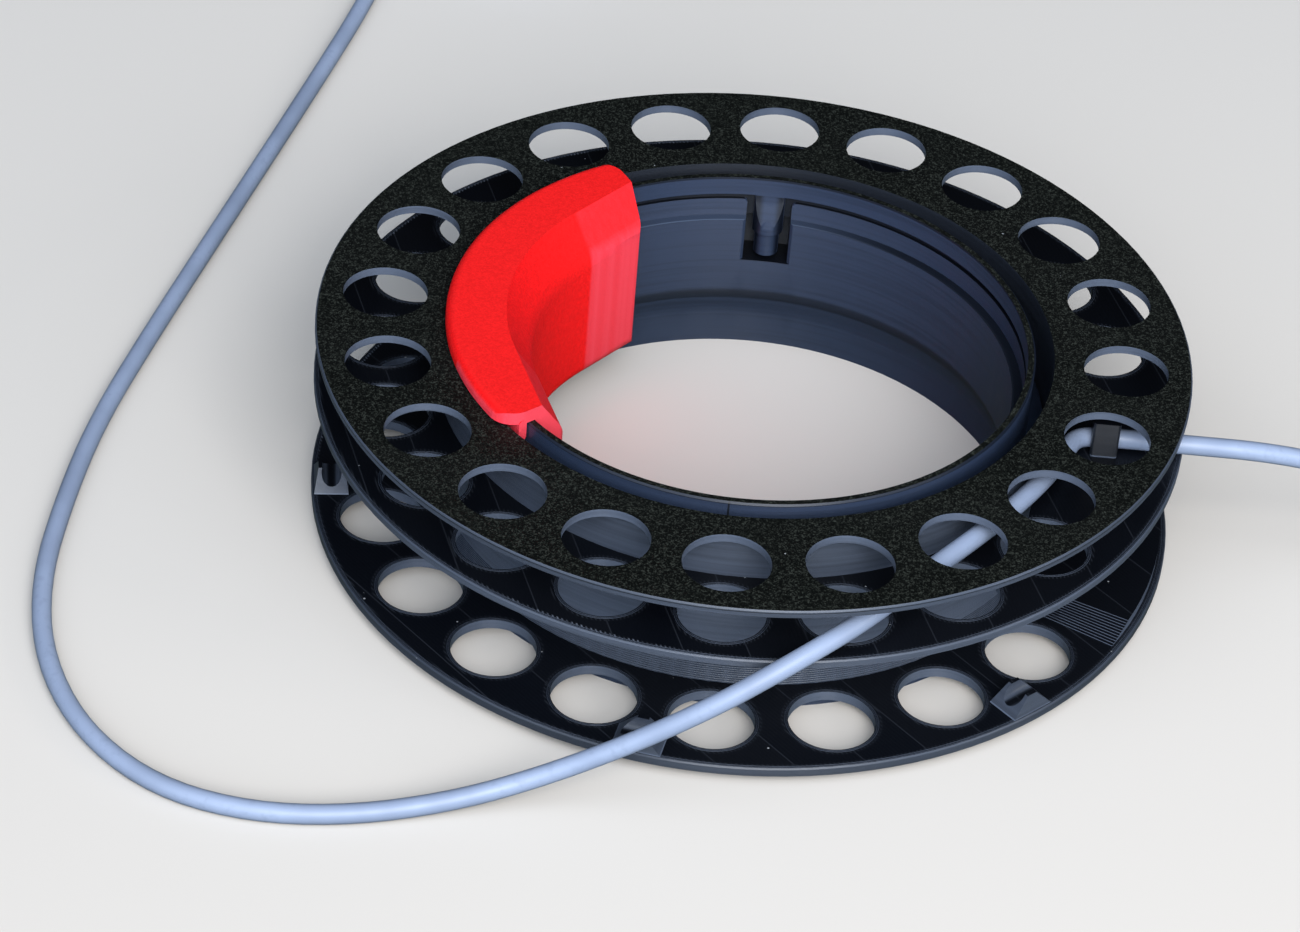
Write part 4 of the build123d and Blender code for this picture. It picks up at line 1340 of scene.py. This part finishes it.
floor_mesh = bpy.data.meshes.new("floor")
floor_corners = [(x * FLOOR_HALF, y * FLOOR_HALF, 0) for x, y in ((-1, -1), (1, -1), (1, 1), (-1, 1))]
floor_mesh.from_pydata(floor_corners, [], [(0, 1, 2, 3)])
floor = bpy.data.objects.new("floor", floor_mesh)
scene.collection.objects.link(floor)
material, tree, shader = new_material("floor")
light_path = tree.nodes.new("ShaderNodeLightPath")
tree.links.new(mix_colour(tree, light_path.outputs["Is Camera Ray"], BOUNCE, PALE),
               shader.inputs["Base Color"])
shader.inputs["Roughness"].default_value = 0.9
shader.inputs["Specular IOR Level"].default_value = 0.1
floor_mesh.materials.append(material)
print("floor", 2 * FLOOR_HALF, "m wide")

# %% [markdown]
# ## Light
# Black plastic shows what it reflects more than its own colour, so the light matters as much
# as the material. Seen from the camera, the reel's flat faces mirror a dark side of the sky, and
# its walls catch a bright one. So the world is a soft gradient that is bright in front, a third
# of the way up, and dim everywhere else. The dot product with the direction of the brightest
# spot says how near to it a ray points.

# %% World
BRIGHTEST = Vector((0.0, -0.85, 0.53)).normalized()
DIM, BRIGHT = 0.03, 2.35
SKY = (0.78, 0.90, 1.08, 1)

world = bpy.data.worlds.new("world")
world.use_nodes = True
tree = world.node_tree
facing = tree.nodes.new("ShaderNodeVectorMath")
facing.operation = "DOT_PRODUCT"
tree.links.new(tree.nodes.new("ShaderNodeTexCoord").outputs["Generated"], facing.inputs[0])
facing.inputs[1].default_value = BRIGHTEST
strength = ramp(tree, facing.outputs["Value"], 0.30, 0.95, DIM, BRIGHT)
tree.links.new(strength, tree.nodes["Background"].inputs["Strength"])
tree.nodes["Background"].inputs["Color"].default_value = SKY
scene.world = world
print("sky from", DIM, "to", BRIGHT)

# %% [markdown]
# Two area lamps finish the light. The large one, in front, draws the soft line along the
# cable, and the small one at the right lifts the walls that face that way. Both aim at the
# reel: an area lamp shines along its own -Z axis, so its +Z axis points away from the reel.

# %% Lamps
LAMPS = {
    "front softbox": ((0.35, -1.48, 1.15), 1.1, 32),
    "side softbox": ((1.65, -0.60, 0.75), 0.55, 6),
}
for lamp_name, (place, size, energy) in LAMPS.items():
    place = Vector(place)
    lamp_data = bpy.data.lights.new(lamp_name, "AREA")
    lamp_data.size = size
    lamp_data.energy = energy
    lamp = bpy.data.objects.new(lamp_name, lamp_data)
    scene.collection.objects.link(lamp)
    aim = place.to_track_quat("Z", "Y").to_matrix().to_4x4()
    lamp.matrix_world = Matrix.Translation(place) @ aim
    print(lamp_name, round(place.length, 2), "m from the reel")
scene.view_settings.view_transform = "Standard"
